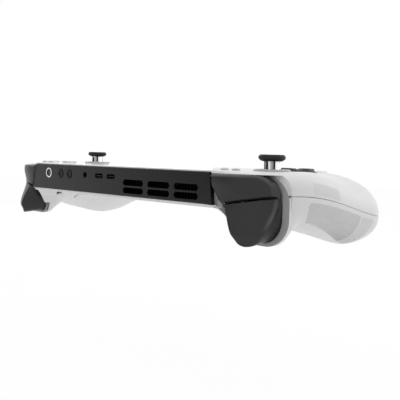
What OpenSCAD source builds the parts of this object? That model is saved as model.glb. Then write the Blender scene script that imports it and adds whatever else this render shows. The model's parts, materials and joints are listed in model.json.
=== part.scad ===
// Handheld gaming computer with two grips, lying screen up.
// Millimetres. X runs to the player's right, Y towards the top edge, Z out of the screen.
// Modules are drawn about the top band: its face is y = 0 and its upper edge is z = 0.
// seat() then moves everything so that the origin is the middle of the base.

/* [Body] */
// depth from the band face to the ends of the grips
body_d = 127.5; // [120:0.5:136]
// height of the screen face above the band
face_z = 1.2; // [1:0.1:3]
// depth of the flat back below the band's upper edge
back_z = 21; // [20.8:0.1:22]
// half width of the straight middle part
mid_half = 100; // [94:0.5:106]
// width of one grip outside the middle part
wing_w = 49.5; // [46:0.5:53]
// distance of the screen glass from the end of the middle part
bezel = 11.8; // [10:0.1:13]
// where along the depth the grips are widest
wide_y = 95; // [88:0.5:98]
// squareness of the two upper corners
top_round = 3.6; // [3:0.1:4]
// squareness of the two lower corners
low_round = 2.8; // [2.3:0.1:3.2]
// set-back of the lower edge between the grips
low_set = 5.5; // [3:0.5:8]
// wall of both shells
wall = 2; // [1.6:0.1:2.4]
// open line between the two shells
part_gap = 0.3; // [0.2:0.05:0.5]

/* [Grips] */
// drop of the palm swell below the flat back
palm_drop = 26; // [22:0.5:28]
// drop of the finger groove below the flat back
groove_drop = 10; // [8:0.5:13]
// drop of the swell just behind the flange
front_drop = 20.2; // [18:0.2:21]
// height of the parting line at the flange, below the band's upper edge
part_top = 12; // [10:0.2:13]
// further fall of the parting line towards the grip end
part_fall = 16; // [12:0.5:18]
// rounding of the face at the top corners
face_round = 16; // [12:0.5:20]
// further rounding of the face at the grip ends
grip_round = 32; // [26:1:40]
// rounding of the back behind the flange
ring_round = 14; // [12:0.5:15]
// further rounding of the back at the palm
palm_round = 20; // [16:1:24]

/* [Band] */
// height of the band
band_h = 18.8; // [18:0.1:19.4]
// distance of the band's upper corner from the flange
band_end = 11.5; // [11:0.1:12.5]
// thickness of the band
band_t = 2.6; // [2:0.1:3]
// length of one vent slot
vent_w = 21.4; // [18:0.2:22]
// height of one vent slot
vent_h = 4.1; // [3:0.1:4.4]
// distance from vent to vent along the band
vent_pitch = 25.05; // [23:0.05:27]
// middle of the first vent
vent_x = -26.7; // [-30:0.1:-24]
// height of the upper vent row
vent_z1 = -9.7; // [-10.5:0.1:-9]
// height of the lower vent row
vent_z2 = -15; // [-15.6:0.1:-14.4]

/* [Ports] */
// height of the port line
port_z = -6.4; // [-7:0.1:-6]
// place of the first data socket
usb_x1 = 11; // [9:0.1:13]
// place of the second data socket
usb_x2 = -2.6; // [-4:0.1:-1]
// width of a data socket opening
usb_w = 8.94; // [8.9:0.01:9]
// height of a data socket opening
usb_h = 3.26; // [3.2:0.01:3.3]
// place of the audio socket
jack_x = 28; // [26:0.1:30]
// bore of the audio socket
jack_bore = 3.6; // [3.55:0.01:3.7]
// power button, distance from the end of the band
power_end = 18.5; // [16:0.1:20]
// diameter of the power button
power_d = 7; // [6:0.1:8]
// diameter of the light ring round the power button
ring_d = 8.6; // [8:0.1:9.4]
// distance of the first volume button from the power button
vol_gap = 17; // [15:0.1:19]
// distance from volume button to volume button
vol_pitch = 11.4; // [10.6:0.1:12]
// diameter of a volume button
vol_d = 7.5; // [6.5:0.1:8]
// travel of a button in the band
band_travel = 0.4; // [0.3:0.1:0.6]

/* [Sticks] */
// left stick, distance from the side of the body
lstick_side = 33.3; // [32:0.1:35]
// left stick, distance behind the band
lstick_y = 33.1; // [32:0.1:35]
// right stick, distance from the side of the body
rstick_side = 33.9; // [32:0.1:36]
// right stick, distance behind the band
rstick_y = 74.7; // [72:0.1:77]
// height of the tilt centre
tilt_z = -6; // [-7:0.1:-5.5]
// diameter of the thumb cap
cap_d = 16.4; // [15:0.1:18]
// thickness of the thumb cap
cap_t = 4; // [3:0.1:5]
// underside of the thumb cap
cap_z = 7.2; // [6.8:0.1:8]
// diameter of the bright shaft
shaft_d = 9.6; // [8.5:0.1:10]
// bore of the stick ring
ring_bore = 16.8; // [16.6:0.1:17.4]
// rim of the stick ring
ring_rim = 23.6; // [22:0.1:25]
// height of the stick ring above the face
ring_h = 1.4; // [0.6:0.1:1.8]
// press travel of a stick
click = 0.5; // [0.3:0.1:0.6]

/* [Pads and buttons] */
// direction pad, distance outside the middle part
dpad_out = 10; // [9:0.1:12]
// direction pad, distance behind the band
dpad_y = 69; // [67:0.1:71]
// diameter of the direction pad
dpad_d = 24; // [22:0.1:25]
// middle of the face buttons, distance from the side of the body
face_side = 33.5; // [32:0.1:36]
// middle of the face buttons, distance behind the band
face_y = 36; // [35.5:0.1:38]
// distance of each face button from their middle
face_pitch = 10.5; // [9.5:0.1:11.5]
// diameter of a face button
face_d = 10; // [9:0.1:11]
// height of a face button above the face
face_up = 1.9; // [1.5:0.1:2.4]
// travel of a face button
face_travel = 1.2; // [0.8:0.1:1.4]
// distance between two small buttons
small_pitch = 9; // [8.6:0.1:9.4]
// small buttons, distance behind the band
small_y = 14; // [13:0.1:15]
// diameter of a small button
small_d = 5.2; // [4.6:0.1:5.6]
// travel of a small button
small_travel = 0.5; // [0.4:0.1:0.7]

/* [Bumpers and triggers] */
// flange plane behind the triggers, distance behind the band
flange_y = 17; // [16.5:0.1:18]
// thickness of the flange
flange_t = 1.6; // [1.4:0.1:2]
// thickness of the white wall behind a flange
lip_t = 1.45; // [1.2:0.05:1.6]
// white edge outside the flange
flange_edge = 0.53; // [0.4:0.01:0.8]
// inner side of the flange, distance outside the middle part
flange_start = 6.7; // [6.2:0.1:7.2]
// lower edge of the flange
flange_low = 41.7; // [41.2:0.1:42]
// radius of the flange's outer corners
flange_r = 16; // [14:0.5:17]
// radius of the flange's inner corners
flange_ri = 7; // [5:0.5:8]
// width of the flange at its outer side
flange_w = 4.6; // [4:0.1:5.2]
// plan radius of the bumpers and triggers
arc_r = 40; // [38:0.5:42]
// start of that arc, inboard of the flange
arc_lead = 3.7; // [3:0.1:4.5]
// length of the flat outer end of a bumper
bump_end = 10.1; // [9:0.1:11]
// lowest point of a trigger
trig_low = 40.9; // [39.5:0.1:41]
// forward sweep of a trigger from top to tip
trig_flare = 5.4; // [4:0.1:6]
// height of the trigger's hinge
hinge_z = -20.5; // [-21:0.1:-20]
// distance of the trigger's hinge behind the band
hinge_y = 14; // [13.5:0.1:14.5]
// diameter of the trigger's pin
hinge_pin = 2; // [1.6:0.1:2.4]
// corner radius of the bumper's outer end
bump_r = 13; // [10:0.5:13.5]
// height of a rear paddle above the back
paddle_up = 1.2; // [0.9:0.1:1.6]
// distance of the bumper's pin inboard of the flange
bump_pin_in = 3.2; // [3:0.1:3.6]
// distance of the bumper's pin behind the band
bump_pin_y = 5.6; // [5:0.1:6.5]

/* [Fits] */
// running clearance on a pin, each side
run = 0.06; // [0.02:0.01:0.09]
// clearance round a button, each side
slip = 0.3; // [0.25:0.05:0.4]
// clearance between neighbouring covers
seam = 0.3; // [0.25:0.05:0.5]

/* [Hidden] */

white = [0.93, 0.93, 0.93];
black = [0.12, 0.12, 0.125];
grey = [0.5, 0.5, 0.51];
dark = [0.24, 0.22, 0.235];
steel = [0.75, 0.75, 0.76];
green = [0.1, 0.28, 0.2];

hw = mid_half + wing_w;
spine_y = -62;
spine_half = mid_half - 2;
face_in = face_z - wall;
floor_in = -back_z + wall;
pocket_y = -flange_y - flange_t - seam;
// places across the body that follow its side or its middle part
lstick_x = hw - lstick_side;
rstick_x = hw - rstick_side;
face_x = hw - face_side;
dpad_x = mid_half + dpad_out;
small_x1 = mid_half - small_pitch / 2;
small_x2 = mid_half + small_pitch / 2;
flange_in = mid_half + flange_start;
flange_out = side_x(pocket_y) - flange_edge;
flange_mid = (flange_in + flange_out) / 2;
arc_x = flange_in - arc_lead;
bump_pin_x = flange_in - bump_pin_in;
band_half = flange_in - band_end;
power_x = band_half - power_end;
vol_x1 = power_x - vol_gap;
vol_x2 = vol_x1 - vol_pitch;
frame_half = mid_half - 9.5;

// smooth step from 0 to 1
function sm(t) = let (c = min(max(t, 0), 1)) c * c * (3 - 2 * c);
// edge profile of a shell, 0 at the rim and 1 on the flat
function prof(q) = let (c = min(max(q, 0), 1)) pow(1 - pow(1 - c, 2.2), 1 / 2.2);
// point on one rounded corner of the plan
function corner(a, b, n, y0) =
  [mid_half + wing_w * pow(cos(a), 2 / n), y0 + b * pow(sin(a), 2 / n)];
// side of the plan at a place along the upper corner
function side_x(y) = corner(asin(pow(1 + y / wide_y, top_round / 2)), wide_y, top_round, 0)[0];

// stations along the straight part, used on both edges so the spine closes
xs = [for (k = [0, 18, 36, 54, 66, 74, 81, 88, 94, 98]) k * spine_half / 98];
low_y = function (x) -body_d + low_set * sm((mid_half - 5 - x) / 25);
half_plan = concat(
  [for (x = xs) [x, 0]],
  [for (a = [86, 74, 64, 55, 47, 40, 34, 28, 22, 17, 12, 8, 4])
    corner(a, wide_y, top_round, -wide_y)],
  [for (a = [0 : 9 : 83]) corner(a, -(body_d - wide_y), low_round, -wide_y)],
  [for (i = [len(xs) - 1 : -1 : 0]) [xs[i], low_y(xs[i])]]);
nh = len(half_plan);
plan = concat(half_plan, [for (i = [nh - 2 : -1 : 1]) [-half_plan[i][0], half_plan[i][1]]]);
np = len(plan);
// spine point under a plan point
function spine(p) = [min(max(p[0], -spine_half), spine_half), spine_y];
// parting height at a plan point
function z_part(p) =
  let (g = sm((abs(p[0]) - mid_half + 15) / 25))
  g * (-part_top - part_fall * sm((-22 - p[1]) / 103)) - (1 - g) * 10;
// outer surface of the back at any place
function z_back(x, y) =
  let (near = sm((-22 - y) / 43))
  let (x0 = mid_half - 2 - 16 * near)
  let (x1 = mid_half + 10 + 26 * near)
  let (rise = sm((abs(x) - x0) / (x1 - x0)))
  let (reach = 8 + 14 * (1 - sm((abs(x) - mid_half - 19) / 15)))
  let (front = pow(1 - min(max((-21 - y) / reach, 0), 1), 1.6))
  let (palm = groove_drop + (palm_drop - groove_drop) * sm((-24 - y) / 70))
  -back_z - rise * (palm + (front_drop - groove_drop) * front);
function grip(p) = sm((abs(p[0]) - mid_half + 5) / 25);
function down(p) = sm((-30 - p[1]) / 75);
function face_r(p) = 3 * (1 - grip(p)) + grip(p) * (face_round + grip_round * down(p));
function back_r(p) = 2.2 * (1 - grip(p)) + grip(p) * (ring_round + palm_round * down(p));

rings = [0.2, 0.4, 0.56, 0.7, 0.8, 0.88, 0.94, 0.98, 1];
nr = len(rings);
// one point of a shell surface: inset w is 0 outside and the wall inside, drop widens the open line
function skin(p, t, w, up, drop = 0) =
  let (s = spine(p))
  let (len0 = norm(p - s))
  let (full = len0 - w)
  let (xy = s + (p - s) * (t * full / len0))
  let (q = (1 - t) * full)
  let (zp = z_part(p) + (up ? 1 : -1) * (part_gap / 2 + drop))
  let (r = max((up ? face_r(p) : back_r(p)) - w, 1))
  let (top = up ? face_z - w : z_back(xy[0], xy[1]) + w)
  [xy[0], xy[1], zp + (top - zp) * prof(q / r)];
// vertex number of the spine point that belongs to plan point i
function mid_id(i) =
  let (k = i < nh ? i : 2 * nh - 2 - i)
  let (m = k < len(xs) ? k : k >= nh - len(xs) ? nh - 1 - k : len(xs) - 1)
  i < nh ? m : (m == 0 ? 0 : len(xs) - 1 + m);
ns = 2 * len(xs) - 1;
function spine_pts(w, up) = concat(
  [for (x = xs) [x, spine_y, up ? face_z - w : z_back(x, spine_y) + w]],
  [for (i = [1 : len(xs) - 1]) [-xs[i], spine_y, up ? face_z - w : z_back(xs[i], spine_y) + w]]);
function skin_pts(w, up, drop = 0) = concat(spine_pts(w, up),
  [for (t = rings) for (p = plan) skin(p, t, w, up, drop)]);
// faces of one surface, turned over when flip is true
function skin_faces(off, flip) =
  let (f = concat(
    [for (i = [0 : np - 1]) let (j = (i + 1) % np) [mid_id(i), ns + i, ns + j]],
    [for (i = [0 : np - 1]) let (j = (i + 1) % np)
      if (mid_id(i) != mid_id(j)) [mid_id(i), ns + j, mid_id(j)]],
    [for (k = [0 : nr - 2]) for (i = [0 : np - 1]) let (j = (i + 1) % np)
      let (a = ns + k * np) let (b = a + np) [a + i, b + i, b + j]],
    [for (k = [0 : nr - 2]) for (i = [0 : np - 1]) let (j = (i + 1) % np)
      let (a = ns + k * np) let (b = a + np) [a + i, b + j, a + j]]))
  [for (t = f) flip ? [t[0] + off, t[2] + off, t[1] + off] : [t[0] + off, t[1] + off, t[2] + off]];
nv = ns + nr * np;
rim0 = ns + (nr - 1) * np;
function rim_faces(flip) = let (f = concat(
    [for (i = [0 : np - 1]) let (j = (i + 1) % np) [rim0 + i, nv + rim0 + i, nv + rim0 + j]],
    [for (i = [0 : np - 1]) let (j = (i + 1) % np) [rim0 + i, nv + rim0 + j, rim0 + j]]))
  [for (t = f) flip ? [t[0], t[2], t[1]] : t];
module shell_skin(up, w = wall, w0 = 0, drop = 0) {
  polyhedron(points = concat(skin_pts(w0, up, drop), skin_pts(w, up, drop)),
    faces = concat(skin_faces(0, !up), skin_faces(nv, up), rim_faces(!up)), convexity = 8);
}

// lowest point of the grips and foremost point of the triggers set the origin
low_z = min([for (p = skin_pts(0, false)) p[2]]);
trig_rows = 9;
trig_cols = 9;
// inner and outer side of a trigger at height z
function trig_x0(z) = flange_in + 0.3 + 11 * pow(min(max((-17.5 - z) / (trig_low - 17.5), 0), 1), 1.2);
function trig_x1(z) = flange_out - 8 - 8 * pow(min(max((-15 - z) / (trig_low - 15), 0), 1), 2.2);
function trig_base(x) = -trig_low + 0.06 * pow(x - flange_mid + 2.15, 2);
function trig_top(x) = -18.1 + (x - flange_in + 0.7) * 0.16;
function arc_y(x) = x < arc_x ? 0 : sqrt(max(pow(arc_r, 2) - pow(x - arc_x, 2), 1)) - arc_r;
function flare(z) = -1.6 + trig_flare * sm((-14 - z) / 20) - 2.6 * sm((-33.5 - z) / 6.8);
function trig_pt(r, c) =
  let (k = 1 - pow(1 - r / trig_rows, 1.4))
  let (zt = -trig_low * k - 16 * (1 - k))
  let (x = trig_x0(zt) + (trig_x1(zt) - trig_x0(zt)) * c / trig_cols)
  let (z = trig_base(x) * k + trig_top(x) * (1 - k))
  [x, max(arc_y(x) + flare(z), -15.6), z];
trig_back = flange_y + 0.9;
// opening of the flange, which the back of the trigger swings into
hole_x0 = flange_in + 1.7;
hole_x1 = flange_out - flange_w;
hole_z0 = -flange_low + 1.9;
hole_z1 = -3.6;
hole_r = flange_r - 2;
hole_ri = flange_ri - 1;
// half width lost or kept at height z by a corner of radius r
function bow(z, r) = sqrt(max(pow(r, 2) - pow(min(z - hole_z0 - r, 0), 2), 1));
function hole_out(z) = hole_x1 - hole_r + bow(z, hole_r);
function hole_in(z) = hole_x0 + hole_ri - bow(z, hole_ri);
function trig_rear(r, c) =
  let (p = trig_pt(r, c))
  let (m = c / trig_cols)
  let (lift = (hole_z0 + 0.9 + trig_low) * pow(r / trig_rows, 2))
  let (a = hole_in(trig_pt(r, 0)[2] + lift) + 0.7)
  let (b = hole_out(trig_pt(r, trig_cols)[2] + lift) - 0.7)
  [a + (b - a) * m, -trig_back, p[2] + lift];
front_y = max([for (r = [0 : trig_rows]) for (c = [0 : trig_cols]) trig_pt(r, c)[1]]);
y_shift = (body_d - front_y) / 2;
z_shift = -low_z;
echo(y_shift = y_shift, z_shift = z_shift, front_y = front_y);

module seat() translate([0, y_shift, z_shift]) children();
module both() { children(); mirror([1, 0, 0]) children(); }
module left() mirror([1, 0, 0]) children();
// cylinder along X, Y or Z from a start to an end
module rod_x(d, x0, x1, y, z, fn = 32) translate([x0, y, z]) rotate([0, 90, 0])
  cylinder(d = d, h = x1 - x0, $fn = fn);
module rod_y(d, x, y0, y1, z, fn = 32) translate([x, y1, z]) rotate([90, 0, 0])
  cylinder(d = d, h = y1 - y0, $fn = fn);
module rod_z(d, x, y, z0, z1, fn = 32) translate([x, y, z0])
  cylinder(d = d, h = z1 - z0, $fn = fn);
// block given by its low and high corner
module box(a, b) translate(a) cube(b - a);
// flat shape drawn in X and Z, given a thickness from y0 to y1
module slab_y(y0, y1) translate([0, y1, 0]) rotate([90, 0, 0]) linear_extrude(y1 - y0) children();
module round_rect(w, h, r) offset(r = r, $fn = 32) square([w - 2 * r, h - 2 * r], center = true);

// front view of the band, with its slanted ends that run down to the flange
band_end_pts = [[band_half, 0], [band_half + 4.8, -13.5], [flange_in - 0.5, -17],
  [flange_in - 0.1, -20.6], [band_half + 2.3, -band_h - 0.6], [band_half - 2.6, -band_h]];
module band_shape(grow = 0) offset(delta = grow) polygon(concat(
  [for (p = band_end_pts) p],
  [for (i = [len(band_end_pts) - 1 : -1 : 0]) [-band_end_pts[i][0], band_end_pts[i][1]]]));

// screen opening
glass_w = 2 * (mid_half - bezel);
glass_h = 105.4;
glass_y = -61;
pad_r = dpad_d / 2 + 0.9;
roof_z = -0.6;
screw_at = [[mid_half - 30, -112], [mid_half - 12.4, -24], [hw - 24.5, -112], [22, -112]];
rib_at = [25, 27, 29, 31];
rib_h = 4;
rib_t = 1.4;

// stiffening rib inside a shell, along the ray to one plan point
module grip_rib(i, t0, t1, up) hull() for (t = [t0, t1])
  translate(skin(plan[i], t, wall / 2, up) - [0, 0, up ? rib_h : 0])
    cylinder(d = rib_t, h = rib_h, $fn = 10);

// narrow wall of a shell behind the flange, from the skin in to the flange's edge
module lip(up, x0) difference() {
  intersection() {
    shell_skin(up, 7, 0.6, 0.12);
    box([x0, pocket_y - lip_t, -60], [hw + 10.5, pocket_y + 1, 6]);
  }
  slab_y(-40, 0) flange_outer(-0.4);
}
// hollow that the inner side of a trigger swings in, seen along X
module cove() translate([mid_half - 10, 0, 0]) rotate([90, 0, 90]) linear_extrude(24) polygon(concat(
  [[6, -60], [6, -back_z - 0.02]],
  [for (a = [0 : 10 : 90]) [-3.6 - (flange_y - 3.9) * pow(sin(a), 1.6),
    -39 + (38.98 - back_z) * pow(cos(a), 1.6)]],
  [[-flange_y + 0.3, -60]]));

// upper half of the body
module front_shell() color(white) difference() {
  union() {
    shell_skin(true);
    // level seats for the lower stick and the direction pad
    translate([rstick_x, -rstick_y, face_in]) cylinder(r = ring_rim / 2 + 1.2, h = wall, $fn = 48);
    translate([-dpad_x, -dpad_y, face_in]) cylinder(r = pad_r + 1.6, h = wall, $fn = 48);
    both() for (i = rib_at) grip_rib(i, 0.56, 0.74, true);
    both() lip(true, flange_mid);
  }
  translate([0, glass_y, 0]) linear_extrude(9, center = true)
    round_rect(glass_w + 2 * seam, glass_h + 2 * seam, 4);
  translate([-lstick_x, -lstick_y, -4]) cylinder(d = ring_bore + 4.6, h = 12, $fn = 48);
  translate([rstick_x, -rstick_y, -4]) cylinder(d = ring_bore + 4.6, h = 12, $fn = 48);
  translate([-dpad_x, -dpad_y, -4]) cylinder(r = pad_r, h = 12, $fn = 48);
  for (a = [0 : 90 : 270]) translate([face_x, -face_y, -4]) rotate(a) translate([face_pitch, 0, 0])
    cylinder(d = face_d + 2 * slip, h = 12, $fn = 40);
  both() for (x = [small_x1, small_x2]) translate([x, -small_y, -4])
    cylinder(d = small_d + 2 * slip, h = 12, $fn = 32);
  // speaker slots
  both() for (i = [-1.5 : 1.5]) translate([speaker_c[0], speaker_c[1] + 2.6 * i, -4]) linear_extrude(12)
    round_rect(9, 1.3, 0.6);
  slab_y(-band_t - seam, 3) band_shape(seam);
  // room for the collars of the band buttons
  rod_y(power_d + 2.4 + 2 * slip, power_x, -band_t - 1.9, 0, port_z, 40);
  for (x = [vol_x1, vol_x2]) rod_y(vol_d + 2.4 + 2 * slip, x, -band_t - 1.9, 0, port_z, 40);
  both() box([band_half - 2, pocket_y, -40], [hw + 10.5, 6, roof_z]);
}

// lower half of the body
module back_shell() color(white) difference() {
  union() {
    difference() {
      shell_skin(false);
      both() cove();
    }
    both() lip(false, mid_half + 3);
    both() box([mid_half - 6, pocket_y - 1, -back_z], [flange_in - seam, -band_t - seam - 0.1, floor_in]);
    both() for (i = rib_at) grip_rib(i, 0.5, 0.74, false);
    for (p = screw_at) both() rod_z(6.4, p[0], p[1], p[0] > mid_half ? -40 : -back_z + 0.5,
      p[0] > mid_half ? -24 : -12.5, 24);
  }
  slab_y(-band_t - seam, 3) band_shape(seam);
  both() box([band_half - 2, pocket_y, floor_in], [flange_in + 0.4, 6, 6]);
  both() box([flange_in - seam, pocket_y, -60], [hw + 10.5, 6, 6]);
  both() slab_y(-24, pocket_y + 1) flange_hole();
  // air intake behind the fan
  for (i = [-3 : 3]) translate([fan_c[0] + 6.4 * i, fan_c[1], -back_z]) linear_extrude(9, center = true)
    round_rect(3, 30 - 3 * abs(i), 1.4);
  // screw holes
  for (p = screw_at) both() translate([p[0], p[1], -60]) cylinder(d = 2.6, h = 60, $fn = 20);
  for (p = screw_at) both() translate([p[0], p[1], -60])
    cylinder(d = 4.8, h = p[0] > mid_half ? 21 : 60 - back_z + 1.6, $fn = 24);
  both() paddle_hole();
  both() switch_hole();
}

// black band along the top edge
module top_frame() color(black) difference() {
  union() {
    slab_y(-band_t, 0) band_shape();
    both() box([band_half + 2.2, -bump_pin_y - 3.4, floor_in + 0.05],
      [flange_in - 0.5, -band_t + 0.2, -17.1]);
  }
  for (k = [0 : 2]) for (z = [vent_z1, vent_z2]) slab_y(-9, 3)
    translate([vent_x - k * vent_pitch, z]) polygon([[-vent_w / 2, 0], [-vent_w / 2 + 1.4, vent_h / 2],
      [vent_w / 2 - 1.4, vent_h / 2], [vent_w / 2, 0], [vent_w / 2 - 1.4, -vent_h / 2],
      [-vent_w / 2 + 1.4, -vent_h / 2]]);
  for (x = [usb_x1, usb_x2]) slab_y(-9, 3) translate([x, port_z])
    round_rect(usb_w + 0.5, usb_h + 0.5, (usb_h + 0.5) / 2 - 0.01);
  rod_y(jack_bore + 0.9, jack_x, -9, 3, port_z, 32);
  rod_y(ring_d + 0.1, power_x, -9, 3, port_z, 40);
  for (x = [vol_x1, vol_x2]) rod_y(vol_d + 2 * slip, x, -9, 3, port_z, 40);
  both() rod_z(hinge_pin + 2 * run, bump_pin_x, -bump_pin_y, -30, 0, 24);
}

// flat front glass
module display_glass() color([0.05, 0.05, 0.06]) translate([0, glass_y, face_z - 1.2])
  linear_extrude(1.2) round_rect(glass_w, glass_h, 3.7);
// picture panel under the glass
module display_panel() color([0.1, 0.1, 0.11]) box(
  [2.2 - glass_w / 2, -111, -1.7], [glass_w / 2 - 2.2, -11, face_z - 1.2]);
// plate that carries the panel and the boards
module mid_frame() color(steel) {
  difference() {
    box([-frame_half, -116, -3.2], [frame_half, -6, -1.7]);
    box([-70, -100, -9], [-20, -20, 3]);
    box([0, -100, -9], [70, -60, 3]);
  }
  for (x = [0.9 - frame_half, frame_half - 0.9]) for (y = [-90, -30])
    box([x - 0.9, y - 5, -1.7], [x + 0.9, y + 5, face_in]);
  // feet down to the back
  for (x = [3 - frame_half, frame_half - 3]) for (y = [-113, -72])
    box([x - 1.8, y - 2, floor_in], [x + 1.8, y + 2, -3.2]);
}
// main circuit board with its processor
board_x0 = -12;
board_x1 = frame_half - 4.5;
board_top = port_z - usb_h / 2 - 0.2;
module main_board() color(green) {
  difference() {
    box([board_x0, -58, board_top - 0.97], [board_x1, -5.2, board_top]);
    box([jack_x - 3.5, -18.4, -12], [jack_x + 3.5, 0, 0]);
  }
  box([8, -38, board_top - 0.01], [26, -22, -6.6]);
  // switches behind the band buttons
  for (x = [power_x, vol_x1, vol_x2])
    box([x - 2, -9, board_top - 0.01], [x + 2, -6.4, port_z + 1.4]);
  for (p = [[board_x0 + 4, -54], [board_x1 - 4, -54], [board_x1 - 4, -20], [4, -14]])
    rod_z(4, p[0], p[1], board_top - 0.07, -3.2, 20);
}
// fins behind the vents
sink_x0 = 2.5 - frame_half;
sink_x1 = board_x0 - 3.2;
fin_pitch = 2.716;
fin_t = 0.6;
module heat_sink() color(black) {
  box([sink_x0, -15.8, floor_in], [sink_x1, -4.4, -16.7]);
  box([sink_x0, -15.8, -7.2], [sink_x1, -4.4, -6.6]);
  for (x = [sink_x0 : fin_pitch : sink_x1 - fin_t]) box([x, -15.8, -16.7], [x + fin_t, -4.4, -7.2]);
}
// flat heat pipe from the processor to the fins
module heat_pipe() color([0.72, 0.45, 0.3]) translate([0, 0, -6.6]) linear_extrude(2.4)
  polygon([[sink_x0 + 4, -13.1], [sink_x0 + 4, -7.1], [-13, -7.1], [2, -26.1], [26, -26.1], [26, -33],
    [-3, -33], [-19, -13.1]]);
fan_c = [38.5 - frame_half, -42];
fan_r = 23;
// blower case, open towards the fins
module fan_housing() color(black) {
  difference() {
    box([fan_c[0] - 26, -68, floor_in], [fan_c[0] + 26, -16.2, -7.4]);
    translate([fan_c[0], fan_c[1], -16.2]) cylinder(r = fan_r + 1.2, h = 7.6, $fn = 48);
    box([fan_c[0] - 22, fan_c[1], -16.2], [fan_c[0] + 22, -10, -8.6]);
    translate([fan_c[0], fan_c[1], -20]) cylinder(r = 15, h = 20, $fn = 40);
  }
  rod_z(8, fan_c[0], fan_c[1], floor_in, -16.4, 32);
  for (a = [30 : 120 : 270]) translate([fan_c[0], fan_c[1], floor_in]) rotate(a)
    translate([3, -1, 0]) cube([12.6, 2, 1]);
  rod_z(2, fan_c[0], fan_c[1], -16.5, -10, 24);
}
// bladed rotor on the post of the case
module fan_rotor() color([0.2, 0.2, 0.21]) translate([fan_c[0], fan_c[1], 0]) {
  difference() {
    translate([0, 0, -16]) cylinder(r = 10, h = 6.8, $fn = 40);
    translate([0, 0, -18]) cylinder(d = 2 + 2 * run, h = 12, $fn = 24);
  }
  for (i = [0 : 21]) rotate(i * 360 / 22) translate([9.7, -0.35, -15.6]) cube([12.6, 0.7, 6.4]);
}
// cells along the lower edge
cell_gap = 1.4;
cell_x0 = 6 - frame_half;
cell_w = (-2 * cell_x0 - 2 * cell_gap) / 3;
module battery_pack() color([0.16, 0.16, 0.17])
  for (k = [0 : 2]) translate([cell_x0 + k * (cell_w + cell_gap), 0, 0])
    box([0, -108, floor_in], [cell_w, -70, -9.8]);
// storage card under the main board
module storage_card() color([0.1, 0.2, 0.35]) {
  box([40, -54, -13], [62, -12, -12.2]);
  box([42, -50, -12.2], [60, -32, -11]);
  box([40, -12, -13.6], [62, -8, -9.2]);
  rod_z(4, 51, -52, -12.2, -9.2, 20);
}
// two data sockets standing on the main board
module usb_sockets() color(steel) for (x = [usb_x1, usb_x2]) difference() {
  slab_y(-8.6, -0.4) translate([x, port_z]) round_rect(usb_w, usb_h + 0.2, usb_h / 2);
  slab_y(-7.4, 1) difference() {
    translate([x, port_z]) round_rect(usb_w - 0.6, usb_h - 0.5, usb_h / 2 - 0.3);
    translate([x, port_z]) square([6.6, 0.7], center = true);
  }
}
// round audio socket
module audio_socket() color([0.16, 0.16, 0.16]) difference() {
  union() {
    box([jack_x - 3.2, -18, -9.2], [jack_x + 3.2, -band_t - 0.1, -3.6]);
    rod_y(jack_bore + 0.7, jack_x, -band_t - 0.2, -0.3, port_z, 40);
  }
  rod_y(jack_bore, jack_x, -16, 3, port_z, 40);
}
// press buttons in the band: head, then a collar behind it
module band_button(x, d) {
  rod_y(d, x, -band_t - 0.5, 0.35, port_z, 40);
  rod_y(d + 2.4, x, -band_t - 1.7, -band_t - 0.45, port_z, 40);
  rod_y(2.4, x, -6.4 + band_travel + 0.1, -band_t - 1.6, port_z, 24);
}
module power_button() color(black) band_button(power_x, power_d);
module volume_up_button() color(black) band_button(vol_x1, vol_d);
module volume_down_button() color(black) band_button(vol_x2, vol_d);
// light ring round the power button
module power_ring() color([0.95, 0.95, 0.97]) difference() {
  rod_y(ring_d, power_x, -band_t + 0.6, 0.15, port_z, 40);
  rod_y(power_d + 2 * slip, power_x, -9, 3, port_z, 40);
}

// small speaker under its slots
speaker_c = [mid_half + 1.5, -103];
module speaker() {
  translate([speaker_c[0], speaker_c[1], 0]) {
    box([-6.5, -6.5, board_z], [6.5, 6.5, -7.5]);
    rod_z(10, 0, 0, -7.6, -3.6, 32);
  }
}
// board under one group of controls, with switch domes
base_h = 7.7;
board_z = tilt_z - base_h;
module control_board(domes) color(green) {
  box([mid_half - 8.5, -88, board_z - 1.2], [hw - 17.5, -24.5, board_z]);
  box([mid_half - 8.5, -110, board_z - 1.2], [mid_half + 8.5, -87.9, board_z]);
  for (p = domes) rod_z(6, p[0], p[1], board_z - 0.1, board_z + 1.1, 24);
  // posts to the front and a leg to the back
  for (y = [-84, -62]) box([mid_half - 8, y - 1.5, board_z - 0.1],
    [mid_half - 5, y + 1.5, face_in]);
  box([mid_half - 8, -30, floor_in], [mid_half - 5.5, -27, board_z - 1.1]);
}

// stick parts, drawn about the tilt centre
base_x = 8.8;
base_y = 7.2;
module stick_base() color(black) difference() {
  box([-base_x, -base_y, -base_h], [base_x, base_y, 2]);
  box([-7.1, -6.2, -6.9], [7.1, 6.2, 4]);
  rod_x(2.4 + 2 * run, -12, 12, 0, 0, 24);
}
module stick_yoke() color(steel) difference() {
  union() {
    box([-6.2, -5.3, -1.5], [6.2, 5.3, 1.5]);
    rod_x(2.4, -8.6, 8.6, 0, 0, 24);
  }
  box([-4.9, -3.5, -4], [4.9, 3.5, 4]);
  rod_y(2 + 2 * run, 0, -9, 9, 0, 24);
}
module stick_hub() color(grey) difference() {
  union() {
    box([-3.2, -3.2, -3], [3.2, 3.2, 3]);
    rod_y(2, 0, -5.2, 5.2, 0, 24);
  }
  rod_z(3.6 + 2 * run, 0, 0, -9, 9, 24);
}
module stick_shaft() color(steel) {
  rod_z(3.6, 0, 0, -4.4, 3.7 + click, 24);
  rod_z(shaft_d, 0, 0, 3.5 + click, cap_z - tilt_z, 40);
}
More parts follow.
